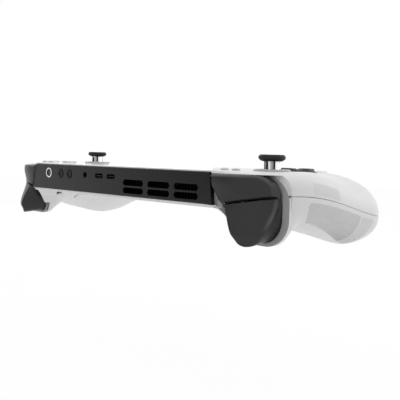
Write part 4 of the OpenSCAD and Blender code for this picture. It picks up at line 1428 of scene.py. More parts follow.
    def trigger_form(self, rows: int = 60, cols: int = 60, soft: float = 1.0, bevel: float = 2.0) -> Form:
        """Swept trigger with a soft crease round its face.

        Args:
            rows: steps from the hinge to the tip.
            cols: steps across.
            soft: radius of the inner and lower edges.
            bevel: radius of the crease along the outer side.

        Returns:
            The trigger as a closed form.
        """
        k = (0.5 - 0.5 * np.cos(np.linspace(0, math.pi, rows)))[:, None] * np.ones((1, cols))
        c = (0.5 - 0.5 * np.cos(np.linspace(0, math.pi, cols)))[None, :] * np.ones((rows, 1))
        low, (xl, zl), (xr, zr) = -self.tip - 0.5, self.trigger_in, self.trigger_out
        (run, power), (hook, start) = self.inner_run, self.inner_tip
        x0 = xl + run * k**power + hook * np.clip((k - start) / (1 - start), 0, 1) ** 3
        x1 = self.trigger_side(k)
        x = x0 + (x1 - x0) * c
        z = (zl + (zr - zl) * c) * (1 - k) + low * k
        top = zl + (zr - zl) * (x - xl) / (xr - xl)
        lean = self.flare * ramp(-z, self.flare_span) - self.tuck * ramp(-z, self.tuck_span)
        lean = lean - self.trigger_back
        gaps = [(x - x0, soft, soft), (x1 - x, bevel, 0.8 * bevel)]
        gaps += [(z - low, 1.6 * soft, soft), (top - z, soft, soft)]
        fall = sum(deep * (1 - np.sqrt(1 - np.clip(1 - d / wide, 0, 1) ** 2)) for d, wide, deep in gaps)
        y = np.maximum(self.arc(x) + lean - fall, self.flange_y + 0.1)
        front = np.stack([x, y, z], 2)
        ends = []
        for start, radius, sign in ((zl, self.hole_radii[0], -1), (zr, self.hole_radii[1], 1)):
            at = start * (1 - k) + (self.hole_low + 0.75) * k
            bow = np.sqrt(np.maximum(radius**2 - np.minimum(at - self.hole_low - radius, 0) ** 2, 1))
            side = self.hole_in + radius if sign < 0 else self.hole_out - radius
            ends.append(np.stack([side + sign * (bow - 0.7), np.full_like(x, self.flange_y - 0.9), at], 2))
        return grid_solid(front, ends[0] + (ends[1] - ends[0]) * c[:, :, None])

    def plug_form(self, top: float = -27.0, deep: float = 2.2) -> Form:
        """Lower end of a trigger inside the ring, which closes the view past it."""
        loop = inset(self.hole(), 0.1)
        return plate([loop[loop[:, 1] < top]], self.flange_y - 0.5 - deep, self.flange_y - 0.5, Axis.Y)

    def foot_form(self) -> Form:
        """Set-back web between the band's end, the bumper and the trigger."""
        loop = [(97.9, -4.0), (98.9, -12.0), (100.5, -15.2), (104.4, -18.4), (104.4, -20.3), (97.4, -19.4)]
        return plate([np.array(loop[::-1])], -4.6, -3.0, Axis.Y, (0, 0.2), 2)

    def build(self, bench: Bench) -> None:
        """Makes the pieces of both corners.

        Args:
            bench: makes and fits the pieces.
        """
        flange, bumper, trigger = self.flange_form(), self.bumper_form(), self.trigger_form()
        for side in Side:
            w = side.word
            made = bench.solid(f"{w}_flange_ring", flange.on(side))
            bench.carve(made, self.sleeve_form().on(side), Carve.JOIN)
            bench.fit(made, "case", FLANGE, "grey_plastic", [f"{w}_flange"])
            bench.put(f"{w}_foot_web", self.foot_form().on(side), "case", FLANGE, "grey_plastic", (), 12)
            # The bumper's slices lie close together and stay apart
            made = bench.solid(f"{w}_bumper_cover", bumper.on(side), merge=1e-9)
            # The edge values paint a highlight along the upper edge and on the outer facet
            bench.rub(made, self.bumper_rub)
            bench.fit(made, f"{w}_bumper", CONTROL, "button_black", [f"{w}_bumper"], 20)
            made = bench.solid(f"{w}_trigger_cover", trigger.plus(self.plug_form()).on(side))
            # The edge values paint a highlight along the trigger's crease
            bench.rub(made, self.trigger_rub)
            bench.fit(made, f"{w}_trigger", CONTROL, "button_black", [f"{w}_trigger"], 40)


# The shells


@dataclass
class Shells:
    """Front and back shell with every opening in them."""

    form: BodyForm
    cluster: Cluster
    seam: float = 0.3
    slip: float = 0.3
    band_t: float = 2.6
    roof: float = -0.6
    glass: Triple = (176.4, 105.4, -61.0)
    stick_left: Pair = (-116.2, -33.1)
    stick_right: Pair = (115.6, -74.7)
    stick_hole: float = 21.4
    seat_stick: float = 13.0
    pad: Pair = (-110.0, -69.0)
    pad_r: float = 12.9
    face_mid: Pair = (116.0, -36.0)
    face_pitch: float = 10.5
    face_d: float = 10.0
    small_at: tuple[Pair, ...] = ((95.5, -14.0), (104.5, -14.0))
    small_d: float = 5.2
    speaker: Pair = (101.5, -103.0)
    intake: Pair = (-52.0, -42.0)
    screws: tuple[Pair, ...] = ((70, -112), (87.6, -24), (125, -112), (22, -112))
    paddle: Pair = (105.0, -57.0)
    paddle_size: Triple = (8.6, 22.0, 2.7)
    paddle_turn: float = -14.0
    paddle_gap: float = 0.8
    rim_split: float = -11.9
    switch: Pair = (101.6, -25.5)
    switch_size: Pair = (1.8, 2.0)
    lip: float = 1.45
    lip_from: Pair = (124.0, 103.0)
    pocket_in: float = 93.2
    shelf: Pair = (94.0, 104.6)
    shelf_end: float = 107.1
    cove_x: Pair = (90.0, 114.0)
    cove_y: Pair = (-3.6, 13.1)
    cove_low: float = -39.0
    cove_power: float = 1.6
    speaker_slot: Triple = (9.0, 1.3, 0.6)
    speaker_pitch: float = 2.6
    intake_slot: Triple = (3.0, 30.0, 1.4)
    intake_pitch: float = 6.4
    post_r: float = 3.2
    screw_head_r: float = 2.4
    screw_hole_r: float = 1.3

    @property
    def pocket(self) -> float:
        """Front of the shells behind the flange."""
        return self.cluster.flange_y - self.cluster.flange_t - self.seam

    def bore(self, d: float, at: Pair, low: float = -4.0, chamfer: float = 0.35) -> Form:
        """Round cutting tool whose mouth at the face is chamfered.

        Args:
            d: diameter.
            at: middle.
            low: lower end.
            chamfer: size of the chamfer.

        Returns:
            The closed form.
        """
        r, top = d / 2, self.form.face
        profile = [(0, low), (r, low), (r, top - chamfer), (r + chamfer, top)]
        profile += [(r + chamfer + 2, top + 2), (0, top + 2)]
        return lathe(profile, (at[0], at[1], 0), steps=72)

    def seat_disc(self, r: float, at: Pair) -> Form:
        """Level seat that stands on the falling face of a grip.

        Args:
            r: radius.
            at: middle.

        Returns:
            The closed form.
        """
        low, top = self.form.face - self.form.wall, self.form.face
        profile = [(0, low), (r, low), (r, top - 0.5), (r - 0.15, top - 0.15), (r - 0.5, top), (0, top)]
        return lathe(profile, (*at, 0))

    def lip_form(self, bench: Bench, up: bool, x0: float) -> Form:
        """Narrow wall of a shell behind the flange, on the right side.

        Args:
            bench: makes and fits the pieces.
            up: front shell or back shell.
            x0: inner end along X.

        Returns:
            The closed form.
        """
        tool = bench.solid("lip", self.form.shell(up, 7.0, 0.6, 0.12))
        wall = block((x0, self.pocket - self.lip, BELOW), (OUTSIDE, self.pocket + 1, ABOVE))
        bench.carve(tool, wall, Carve.KEEP)
        cut = plate([self.cluster.outer(-0.4)], -40, 0, Axis.Y)
        bench.carve(tool, cut, Carve.AWAY)
        verts = np.array([v.co[:] for v in tool.data.vertices])
        found = Form((verts - bench.origin) / MM, [tuple(f.vertices) for f in tool.data.polygons])
        bpy.data.objects.remove(tool)
        return found

    def paddle_loop(self, side: Side, grow: float = 0.0) -> np.ndarray:
        """Outline of a rear paddle, seen along Z.

        Args:
            side: which paddle.
            grow: room round it.

        Returns:
            The closed loop, N by 2.
        """
        w, l, r = self.paddle_size
        at = (side.value * self.paddle[0], self.paddle[1])
        return round_rect(w + 2 * grow, l + 2 * grow, r + grow, at, side.value * self.paddle_turn)

    def front(self, bench: Bench) -> None:
        """Makes the front shell.

        Args:
            bench: makes and fits the pieces.
        """
        shell = bench.solid("front_cover", self.form.shell(True))
        bench.carve_both(shell, self.lip_form(bench, True, self.lip_from[0]), Carve.JOIN)
        bench.carve(shell, self.seat_disc(self.seat_stick, self.stick_right), Carve.JOIN)
        w, h, y = self.glass
        tools = [plate([round_rect(w + 0.6, h + 0.6, 4, (0, y))], -4.5, 4.5, Axis.Z)]
        tools += [self.bore(self.stick_hole, p) for p in (self.stick_left, self.stick_right)]
        tools.append(self.bore(2 * self.pad_r, self.pad))
        mid, pitch = self.face_mid, self.face_pitch
        for a in (0, math.pi / 2, math.pi, 1.5 * math.pi):
            at = (mid[0] + pitch * math.cos(a), mid[1] + pitch * math.sin(a))
            tools.append(self.bore(self.face_d + 2 * self.slip, at, chamfer=0.25))
        for side in Side:
            for x, yy in self.small_at:
                tools.append(self.bore(self.small_d + 2 * self.slip, (side.value * x, yy), chamfer=0.25))
            for i in range(4):
                at = (side.value * self.speaker[0], self.speaker[1] + self.speaker_pitch * (i - 1.5))
                tools.append(plate([round_rect(*self.speaker_slot, at)], -8, ABOVE, Axis.Z))
        bench.carve(shell, tools[0].plus(*tools[1:]), Carve.AWAY)
        self.cut_band(bench, shell)
        space = block((self.pocket_in, self.pocket, -40), (OUTSIDE, ABOVE, self.roof))
        bench.carve_both(shell, space, Carve.AWAY)
        bench.carve_both(shell, self.cluster.rim_form(self.rim_split + 0.1, ABOVE), Carve.JOIN)
        bench.fit(shell, "case", WHITE, "white_shell", ["front_shell"], 30)

    def cut_band(self, bench: Bench, shell: Object) -> None:
        """Clears the space of the black band.

        Args:
            bench: makes and fits the pieces.
            shell: the shell that is cut.
        """
        loop = band_outline()
        loop = inset(loop if area(loop) > 0 else loop[::-1], -self.seam)
        bench.carve(shell, plate([loop], -self.band_t - self.seam, 3, Axis.Y), Carve.AWAY)

    def cove(self) -> Form:
        """Hollow that the inner side of a trigger swings in.

        Returns:
            The closed form.
        """
        low = self.form.back
        top, (start, run) = -low - 0.02, self.cove_y
        curve = [(ABOVE, BELOW), (ABOVE, top)]
        for i in range(19):
            a = math.radians(5 * i)
            y = start - run * math.sin(a) ** self.cove_power
            z = self.cove_low + (top - self.cove_low) * max(math.cos(a), 0) ** self.cove_power
            curve.append((y, z))
        curve.append((start - run, BELOW))
        return prism_x(curve, *self.cove_x)

    def rear(self, bench: Bench) -> None:
        """Makes the back shell.

        Args:
            bench: makes and fits the pieces.
        """
        low, floor = -self.form.back, -self.form.back + self.form.wall
        shell = bench.solid("back_cover", self.form.shell(False))
        bench.carve_both(shell, self.cove(), Carve.AWAY)
        lip = self.lip_form(bench, False, self.lip_from[1])
        for side in Side:
            bench.carve(shell, lip.on(side), Carve.JOIN)
        x0, x1 = self.shelf
        shelf = block((x0, self.pocket - 1, low), (x1, -self.band_t - 0.4, floor))
        bench.carve_both(shell, shelf, Carve.JOIN)
        posts = []
        for side in Side:
            for x, y in self.screws:
                a, b = (-40, -24) if x > 100 else (low + 0.5, -12.5)
                profile = [(0, a), (self.post_r, a), (self.post_r, b), (0, b)]
                posts.append(lathe(profile, (side.value * x, y, 0), steps=32))
        bench.carve(shell, posts[0].plus(*posts[1:]), Carve.JOIN)
        self.cut_band(bench, shell)
        spaces = [(self.pocket_in, floor, self.shelf_end), (x1, BELOW, OUTSIDE)]
        for start, z, end in spaces:
            bench.carve_both(shell, block((start, self.pocket, z), (end, ABOVE, ABOVE)), Carve.AWAY)
        slant = np.array([(98.4, -0.6), (104.8, -9.4), (106, -9.4), (106, 2), (98.4, 2)])
        bench.carve_both(shell, plate([slant], BELOW, floor + 0.05, Axis.Z), Carve.AWAY)
        bench.carve_both(shell, self.cluster.rim_form(BELOW, self.rim_split - 0.1), Carve.JOIN)
        mouth = inset(self.cluster.hole(), -self.cluster.sleeve - 0.05)
        bench.carve_both(shell, plate([mouth], -25.2, self.pocket + 1, Axis.Y), Carve.AWAY)
        tools = []
        for i in range(-3, 4):
            wide, tall, r = self.intake_slot
            at = (self.intake[0] + self.intake_pitch * i, self.intake[1])
            loop = round_rect(wide, tall - 3 * abs(i), r, at)
            tools.append(plate([loop], low - 4.5, low + 4.5, Axis.Z))
        for side in Side:
            for x, y in self.screws:
                sink = -39 if x > 100 else low + 1.6
                wide, thin = self.screw_head_r, self.screw_hole_r
                profile = [(0, BELOW), (wide, BELOW), (wide, sink), (thin, sink), (thin, 0), (0, 0)]
                tools.append(lathe(profile, (side.value * x, y, 0), steps=32))
            tools.append(plate([self.paddle_loop(side, self.paddle_gap)], BELOW, -10, Axis.Z))
            w, run = self.switch_size
            x, y = self.switch
            half = w / 2 + self.slip
            slot = block((x - half, y - run - 0.5, -40), (x + half, y + run + 0.5, -12))
            tools.append(slot.on(side))
        bench.carve(shell, tools[0].plus(*tools[1:]), Carve.AWAY)
        bench.fit(shell, "case", WHITE, "white_shell", ["back_shell"], 30)

    def paddles(self, bench: Bench, proud: float = 1.2, soft: float = 0.9) -> None:
        """Makes the rear paddles, which follow the skin.

        Args:
            bench: the bench.
            proud: height above the back.
            soft: radius of the edge.
        """
        tree = self.form.tree(False)
        for side in Side:
            loop = self.paddle_loop(side)
            loop = loop if area(loop) > 0 else loop[::-1]
            rows, count = [], len(loop)
            centre = loop.mean(0)
            steps = [0.0, 0.05, 0.15, 0.3, 0.5, 0.75, 1.0]
            rings = [(inset(loop, s * soft), proud * math.sqrt(max(1 - (1 - s) ** 2, 0))) for s in steps]
            core = rings[-1][0]
            rings += [(centre + (core - centre) * f, proud) for f in (0.8, 0.55, 0.3, 0.1)]
            for flat, up in rings:
                z = [tree.ray_cast((p[0], p[1], -90), (0, 0, 1))[0].z for p in flat]
                rows.append(np.column_stack([flat, np.array(z) - up]))
            sunk = rows[0] + np.array([0, 0, self.form.wall + 0.4])
            verts = np.concatenate([sunk, *rows])
            total = len(rows) + 1
            faces = [f for k in range(total - 1) for f in strip(k * count, (k + 1) * count, count)]
            faces.append(tuple(range(count)))
            faces.append(tuple((total - 1) * count + i for i in range(count)))
            name = f"{side.word}_paddle"
            bench.put(f"{name}_cover", Form(verts, faces), name, WHITE, "white_shell", [name])

    def switches(self, bench: Bench) -> None:
        """Makes the small slide switches of the trigger travel.

        Args:
            bench: makes and fits the pieces.
        """
        w, run = self.switch_size
        for side in Side:
            x, y = self.switch
            teeth = [(x - w / 2, y), (x + w / 2, y), (x + w / 2, y + run), (x - w / 2, y + run)]
            form = plate([round_corners(teeth, [0.3] * 4, 4)], -24.4, -16, Axis.Z, (0.25, 0))
            starts = [0.55 * i for i in range(3)]
            notch = [block((x - 2, y + 0.35 + at, -26), (x + 2, y + 0.55 + at, -24.15)) for at in starts]
            made = bench.solid(f"{side.word}_travel_slider", form.on(side))
            bench.carve(made, notch[0].plus(*notch[1:]).on(side), Carve.AWAY)
            name = f"{side.word}_travel_switch"
            bench.fit(made, name, CONTROL, "button_black", [name])

    def screw_heads(self, bench: Bench) -> None:
        """Sets a cross-recessed screw in every boss of the back.

        Args:
            bench: makes and fits the pieces.
        """
        profile = [(0, 6.6), (1, 6.6), (1, 1.2), (2.2, 1.2), (2.2, 0.35), (2.1, 0.12), (1.8, 0), (0, 0)]
        head = lathe(profile, (0, 0, 0), steps=40)
        part = bench.solid("screw_part", Form(head.verts - bench.origin / MM, head.faces))
        for turn in (0, 90):
            arm = plate([round_rect(2.4, 0.5, 0.1, (0, 0), turn)], -1, 0.75, Axis.Z)
            bench.carve(part, Form(arm.verts - bench.origin / MM, arm.faces), Carve.AWAY)
        bench.shade(part)
        spots = []
        for side in Side:
            for x, y in self.screws:
                spots.append((side.value * x, y, -40.4 if x > 100 else -self.form.back + 0.4))
        made = bench.solid("back_screws", Form(np.array(spots, float), []))
        Growth.grow(bench, made, Growth.set_on_points(), Part=part, Seed=7, Material=STEEL.material())
        bpy.data.objects.remove(part)
        bench.fit(made, "case", STEEL, "steel", ["shell_screws"], 0)

    def build(self, bench: Bench) -> None:
        """Makes both shells and what sits in the back.

        Args:
            bench: makes and fits the pieces.
        """
        self.front(bench)
        self.rear(bench)
        self.paddles(bench)
        self.switches(bench)
        self.screw_heads(bench)


@dataclass(frozen=True)
class Zone:
    """One field of grip lines, measured along the outline and away from the parting line."""

    name: str
    up: bool
    start: float
    end: float
    low: float
    high: Pair
    lean: float
    radius: float
    finish: Finish


@dataclass
class GripLines:
    """Fine raised lines on the sides of the grips, greyer than the shell as painted shade of the gaps between
    them.
    """

    form: BodyForm
    pitch: float = 1.55
    zones: tuple[Zone, ...] = (
        Zone("lower", False, 8.0, 62.0, 3.0, (16.0, 27.0), -0.8, 0.2, GRIP_SHADE),
        Zone("tail", False, 62.0, 78.0, 3.0, (27.0, 30.0), -0.8, 0.16, FAINT_SHADE),
        Zone("upper", True, 11.0, 38.0, 1.6, (9.0, 9.0), -0.8, 0.13, FAINT_SHADE),
    )

    def wires(self, side: Side, zone: Zone) -> Form:
        """Lines on one zone of a grip as loose edges.

        Args:
            side: which grip.
            zone: the field.

        Returns:
            Vertices in order, with one face-less edge list in faces as pairs.
        """
        plan = self.form.plan()
        half = plan[: len(plan) // 2 + 1]
        first = int(np.argmax(half[:, 1] < -21))
        half = half[first:]
        run = np.concatenate([[0], np.cumsum(np.linalg.norm(np.diff(half, axis=0), axis=1))])
        grid = np.linspace(0, 1, 160) ** 2 * 0.72
        verts: list[np.ndarray] = []
        edges: list[tuple[int, ...]] = []
        tall = max(zone.high)
        for s0 in np.arange(zone.start, zone.end + abs(zone.lean) * tall, self.pitch):
            h = np.arange(zone.low, tall + 0.01, 1.0)
            s = s0 + zone.lean * (h - zone.low)
            keep = (s < zone.end) & (s > zone.start) & (h < np.interp(s, (zone.start, zone.end), zone.high))
            if keep.sum() < 3:
                continue
            h, s = h[keep], s[keep]
            p = np.stack([np.interp(s, run, half[:, 0]), np.interp(s, run, half[:, 1])], 1)
            line = self.form.skin(p, np.tile(1 - grid, (len(p), 1)), 0.0, zone.up)
            steps = np.linalg.norm(np.diff(line, axis=1), axis=2)
            far = np.concatenate([np.zeros((len(p), 1)), np.cumsum(steps, axis=1)], 1)
            rows = zip(h, far, line)
            here = np.array([[np.interp(up, fars, row[:, a]) for a in range(3)] for up, fars, row in rows])
            base = sum(len(v) for v in verts)
            edges += [(base + i, base + i + 1) for i in range(len(here) - 1)]
            verts.append(here)
        return Form(np.concatenate(verts) * np.array([side.value, 1, 1]), edges)

    def build(self, bench: Bench) -> None:
        """Raises the lines of both grips.

        Args:
            bench: makes and fits the pieces.
        """
        tree = Growth.raised_lines()
        for side in Side:
            for zone in self.zones:
                form = self.wires(side, zone)
                mesh = bpy.data.meshes.new(f"{side.word}_{zone.name}_grip_lines")
                mesh.from_pydata(bench.place(form.verts).tolist(), form.faces, [])
                made = bpy.data.objects.new(mesh.name, mesh)
                bpy.context.scene.collection.objects.link(made)
                size = {"Radius": zone.radius * MM, "Sides": 6}
                Growth.grow(bench, made, tree, Material=zone.finish.material(), **size)
                bench.fit(made, "case", zone.finish, "white_shell", (), 60)


# Band and ports


@dataclass
class Band:
    """Black band with its vents, sockets and buttons."""

    thick: float = 2.6
    port_z: float = -6.4
    vent: Pair = (21.4, 4.1)
    vent_x: float = -26.7
    vent_pitch: float = 25.05
    vent_rows: Pair = (-9.7, -15.0)
    usb_x: Pair = (11.0, -2.6)
    usb: Pair = (8.94, 3.26)
    jack_x: float = 28.0
    jack_bore: float = 3.6
    power_x: float = 76.7
    power_d: float = 5.7
    light_d: float = 7.5
    volume: tuple[tuple[str, float], ...] = (("volume_up", 59.7), ("volume_down", 48.3))
    volume_d: float = 6.3
    slip: float = 0.3

    def vent_loop(self, x: float, z: float) -> np.ndarray:
        """One vent with pointed ends and softened corners.

        Args:
            x: middle along X.
            z: middle along Z.

        Returns:
            The closed loop, N by 2.
        """
        w, h = self.vent[0] / 2, self.vent[1] / 2
        corners = [(-w, 0), (-w + 1.4, -h), (w - 1.4, -h), (w, 0), (w - 1.4, h), (-w + 1.4, h)]
        return round_corners(corners, [0.5, 0.9, 0.9, 0.5, 0.9, 0.9], 5) + np.array([x, z])

    def face(self, bench: Bench) -> None:
        """Makes the band itself.

        Args:
            bench: makes and fits the pieces.
        """
        loops = [band_outline()]
        for k in range(3):
            loops += [self.vent_loop(self.vent_x - k * self.vent_pitch, z) for z in self.vent_rows]
        w, h = self.usb
        loops += [round_rect(w + 0.5, h + 0.5, (h + 0.5) / 2 - 0.01, (x, self.port_z)) for x in self.usb_x]
        loops.append(circle(self.jack_bore / 2 + 0.45, (self.jack_x, self.port_z), 40))
        loops.append(circle(self.light_d / 2 + 0.05, (self.power_x, self.port_z), 56))
        loops += [circle(self.volume_d / 2 + self.slip, (x, self.port_z), 56) for _, x in self.volume]
        form = plate(loops, -self.thick, 0.0, Axis.Y, (0, 0.22), 3)
        bench.put("band_cover", form, "case", BAND, "band_black", ["top_frame"], 12)

    def button(self, bench: Bench, name: str, x: float, d: float, mark: str, finish: Finish) -> None:
        """Makes one press button with a dished head.

        Args:
            bench: the bench.
            name: body and node of the button.
            x: place along the band.
            d: diameter of the head.
            mark: which raised mark it carries, plus, minus or none.
            finish: its finish.
        """
        r, back = d / 2, -self.thick
        profile = [(0, back - 1.7), (r + 1.2, back - 1.7), (r + 1.2, back - 0.45), (r, back - 0.45)]
        profile += [(r, 0.05), (r - 0.08, 0.24), (r - 0.3, 0.35), (r - 0.7, 0.33)]
        profile += [(r * 0.6, 0.16), (r * 0.3, 0.07), (0, 0.05)]
        form = lathe(profile, (x, 0, self.port_z), Axis.Y, 72)
        bars = {"plus": (0, 90), "minus": (0,), "none": ()}[mark]
        made = bench.solid(f"{name}_head", form)
        for turn in bars:
            loop = round_rect(2.0, 0.4, 0.15, (x, self.port_z), turn)
            bench.carve(made, plate([loop], -0.5, 0.2, Axis.Y, (0, 0.06), 2), Carve.JOIN)
        bench.fit(made, name, finish, "button_black", [name])

    def build(self, bench: Bench) -> None:
        """Makes the band, the buttons and the light ring.

        Args:
            bench: makes and fits the pieces.
        """
        self.face(bench)
        self.button(bench, "power_button", self.power_x, self.power_d, "none", BAND)
        for (word, x), mark in zip(self.volume, ("plus", "minus")):
            self.button(bench, f"{word}_button", x, self.volume_d, mark, VOLUME)
        ro, ri = self.light_d / 2, self.power_d / 2 + self.slip
        ring = [(ri, -2.0), (ro, -2.0), (ro, 0.08), (ro - 0.07, 0.15), (ri + 0.07, 0.15), (ri, 0.08)]
        form = lathe(ring, (self.power_x, 0, self.port_z), Axis.Y, 72, True)
        bench.put("power_light_ring", form, "case", LIGHT, "light_ring", ["power_ring"])


# The controls


@dataclass
class Stick:
    """One thumb stick with its shaft, skirt, cap and ring."""

    side: Side
    at: Pair
    tilt_z: float = -6.0
    cap_d: float = 16.4
    cap_t: float = 4.0
    cap_z: float = 7.2
    shaft_d: float = 9.6
    ring_bore: float = 16.8
    ring_rim: float = 23.6
    ring_h: float = 1.4
    face: float = FACE
    ridges: int = 56
    ridge_in: float = 1.7

    def build(self, bench: Bench) -> None:
        """Makes the pieces of this stick.

        Args:
            bench: makes and fits the pieces.
        """
        w, body = self.side.word, f"{self.side.word}_stick"
        spot = (*self.at, 0.0)
        r, z, t = self.cap_d / 2, self.cap_z, self.cap_t
        cap = [(0, z), (r - 3.2, z), (r - 2.5, z + 0.1), (r - 1.7, z + 0.4), (r - 0.9, z + 0.85)]
        cap += [(r - 0.35, z + 1.35), (r - 0.05, z + 1.9), (r, z + 2.35), (r - 0.1, z + 2.9)]
        cap += [(r - 0.4, z + 3.45), (r - 0.85, z + 3.85)]
        cap += [(r - 1.4, z + t), (r - 1.9, z + t - 0.05), (r - 2.5, z + t - 0.3), (r * 0.5, z + t - 0.85)]
        cap += [(r * 0.25, z + t - 1.05), (0, z + t - 1.1)]
        bench.put(f"{w}_thumb_cap", lathe(cap, spot), body, RUBBER, "cap_rubber", [f"{w}_stick_cap"], 40)
        s = self.shaft_d / 2
        low = self.tilt_z + 4.0
        shaft = [(0, low), (s - 0.4, low), (s, low + 0.4), (s, z - 1.2), (s - 0.12, z - 0.9)]
        shaft += [(s - 0.12, z - 0.6), (s, z - 0.4), (s, z), (0, z)]
        form = lathe(shaft, spot)
        bench.put(f"{w}_bright_shaft", form, body, BRIGHT, "bright", [f"{w}_stick_shaft"], 40)
        dome = []
        for radius, angles in ((8.2, range(28, 59, 3)), (7.6, range(58, 27, -3))):
            for a in angles:
                q = math.radians(a)
                dome.append((radius * math.sin(q), self.tilt_z + radius * math.cos(q)))
        form = lathe(dome, spot, steps=64, ring=True)
        bench.put(f"{w}_dust_skirt", form, body, SKIRT, "cap_rubber", (), 40)
        self.ring(bench, spot)
        self.thumb_ridges(bench, body)

    def ring(self, bench: Bench, spot: Triple) -> None:
        """Makes the collar in the face.

        Args:
            bench: makes and fits the pieces.
            spot: the stick's place.
        """
        ri, ro, f = self.ring_bore / 2, self.ring_rim / 2, self.face
        top = f + self.ring_h
        loop = [(ri, f - 2.2), (ri + 2, f - 2.2), (ri + 2, f), (ro, f), (ro - 0.08, f + 0.4)]
        loop += [(ro - 0.45, top - 0.4), (ro - 0.95, top - 0.1), (ro - 1.4, top), (ri + 0.8, top)]
        loop += [(ri + 0.3, top - 0.12), (ri + 0.06, top - 0.4), (ri, top - 0.8)]
        w, form = self.side.word, lathe(loop, spot, ring=True)
        bench.put(f"{w}_stick_collar", form, "case", COLLAR, "ring_white", [f"{w}_stick_ring"], 40)

    def thumb_ridges(self, bench: Bench, body: str) -> None:
        """Sets fine grip ridges round the top of the cap.

        Args:
            bench: makes and fits the pieces.
            body: body that carries them.
        """
        ridge = plate([round_rect(1.5, 0.3, 0.12)], -0.3, 0.1, Axis.Z, (0, 0.08), 2)
        part = bench.solid("ridge_part", Form(ridge.verts - bench.origin / MM, ridge.faces))
        top = self.cap_z + self.cap_t - 0.06
        made = bench.solid(f"{self.side.word}_thumb_ridges", Form(np.array([(*self.at, top)]), []))
        size = {"Count": self.ridges, "Radius": (self.cap_d / 2 - self.ridge_in) * MM}
        Growth.grow(bench, made, Growth.ridge_ring(), Part=part, Material=RUBBER.material(), **size)
        bpy.data.objects.remove(part)
        bench.fit(made, body, RUBBER, "cap_rubber", (), 30)


@dataclass
class DirectionPad:
    """Dished round pad with four raised arms."""

    at: Pair
    d: float = 24.0
    face: float = FACE
    arm: float = 3.6
    rim_gap: float = 0.5

    def height(self, r: np.ndarray, a: np.ndarray) -> np.ndarray:
        """Height of the pad's top over the face.

        Args:
            r: distance from the middle.
            a: angle round it.

        Returns:
            Heights in millimetres.
        """
        rim = self.d / 2 - self.rim_gap
        dish = np.minimum(24.3 - np.sqrt(24.6**2 - r**2), 0.8)
        dish = dish - 0.6 * np.clip((r - rim + 0.6) / 0.6, 0, 1) ** 2
        x, y = np.abs(r * np.cos(a)), np.abs(r * np.sin(a))
        along, across = np.maximum(x, y), np.minimum(x, y)
        crest = np.minimum(1.35 + 0.25 * (along - 4.4), 2.05)
        mask = ease((self.arm + 0.25 - across) / 0.5) * ramp(along, (1.6, 2.4)) * ramp(-along, (-11.05, 0.7))
        return dish + np.maximum(crest - dish, 0) * mask

    def build(self, bench: Bench) -> None:
        """Makes the pad.

        Args:
            bench: makes and fits the pieces.
        """
        rim, rows, cols = self.d / 2 - self.rim_gap, 56, 192
        rs = np.linspace(0.02, 1, rows) ** 0.8 * rim
        a = np.linspace(0, 2 * math.pi, cols, endpoint=False)
        r, q = np.meshgrid(rs, a, indexing="ij")
        top = np.stack([r * np.cos(q), r * np.sin(q), self.face + self.height(r, q)], 2).reshape(-1, 3)
        skirt = [(rim + 0.05, self.face - 0.3), (rim + 0.2, self.face - 3.4), (0.02, self.face - 3.4)]
        low = [np.stack([s * np.cos(a), s * np.sin(a), np.full(cols, h)], 1) for s, h in skirt]
        verts = np.concatenate([top, *low]) + np.array([*self.at, 0])
        total = rows + len(skirt)
        faces = [f for k in range(total - 1) for f in strip(k * cols, (k + 1) * cols, cols)]
        faces += [tuple(range(cols)), tuple((total - 1) * cols + i for i in range(cols))]
        bench.put("direction_pad_cover", Form(verts, faces), "pad", PAD, "pad_grey", ["dpad"], 50)


@dataclass
class Buttons:
    """Face buttons and the small buttons by the screen."""

    mid: Pair
    pitch: float
    d: float
    small_d: float
    up: float = 1.5
    face: float = FACE
    small: tuple[tuple[str, float], ...] = (
        ("view_button", -95.5),
        ("left_guide_button", -104.5),
        ("menu_button", 95.5),
        ("right_guide_button", 104.5),
    )
    small_y: float = -14.0

    @staticmethod
    def head(r: float, top: float, low: float, collar: float) -> list[Pair]:
        """Profile of a domed key with its collar.

        Args:
            r: radius.
            top: height of its top.
            low: lower end.
            collar: width of the collar.

        Returns:
            The profile.
        """
        key = [(0, low), (r + collar, low), (r + collar, low + 1.1), (r, low + 1.1), (r, top - 0.95)]
        key += [(r - 0.05, top - 0.7), (r - 0.2, top - 0.45), (r - 0.5, top - 0.22), (r - 0.95, top - 0.08)]
        return key + [(r * 0.6, top - 0.01), (r * 0.3, top), (0, top)]

    def build(self, bench: Bench) -> None:
        """Makes every button of the face.

        Args:
            bench: makes and fits the pieces.
        """
        for word, a in (("right", 0), ("top", 90), ("left", 180), ("bottom", 270)):
            q = math.radians(a)
            spot = (self.mid[0] + self.pitch * math.cos(q), self.mid[1] + self.pitch * math.sin(q), 0)
            form = lathe(self.head(self.d / 2, self.face + self.up, -1.4, 0.7), spot, steps=72)
            name = f"face_button_{word}"
            bench.put(f"{name}_key", form, name, KEY_WHITE, "ring_white", [name], 35)
        for name, x in self.small:
            profile = self.head(self.small_d / 2, self.face + self.up, -2.0, 0.9)
            form = lathe(profile, (x, self.small_y, 0), steps=56)
            bench.put(f"{name}_key", form, name, KEY_WHITE, "ring_white", [name], 35)


@dataclass
class Display:
    """Cover glass of the screen."""

    width: float
    height: float
    middle: float
    thick: float = 1.2
    corner: float = 3.7
    face: float = FACE

    def build(self, bench: Bench) -> None:
        """Makes the glass, with its picture area in the right place.

        Args:
            bench: makes and fits the pieces.
        """
        loop = round_rect(self.width, self.height, self.corner, (0, self.middle))
        form = plate([loop], self.face - self.thick, self.face, Axis.Z, (0, 0.25))
        mid = bench.place(np.array([0, self.middle, 0])) / MM
        finish = replace(SCREEN, name="cover_glass", middle=(float(mid[0]), float(mid[1])))
        bench.put("screen_cover", form, "case", finish, "glass", ["display_glass"])


# The stage


@dataclass(frozen=True)
class Flag:
    """Dark cloth that dims the room towards one side."""

    way: Triple
    edge: float
    core: float
    most: float
    least: float


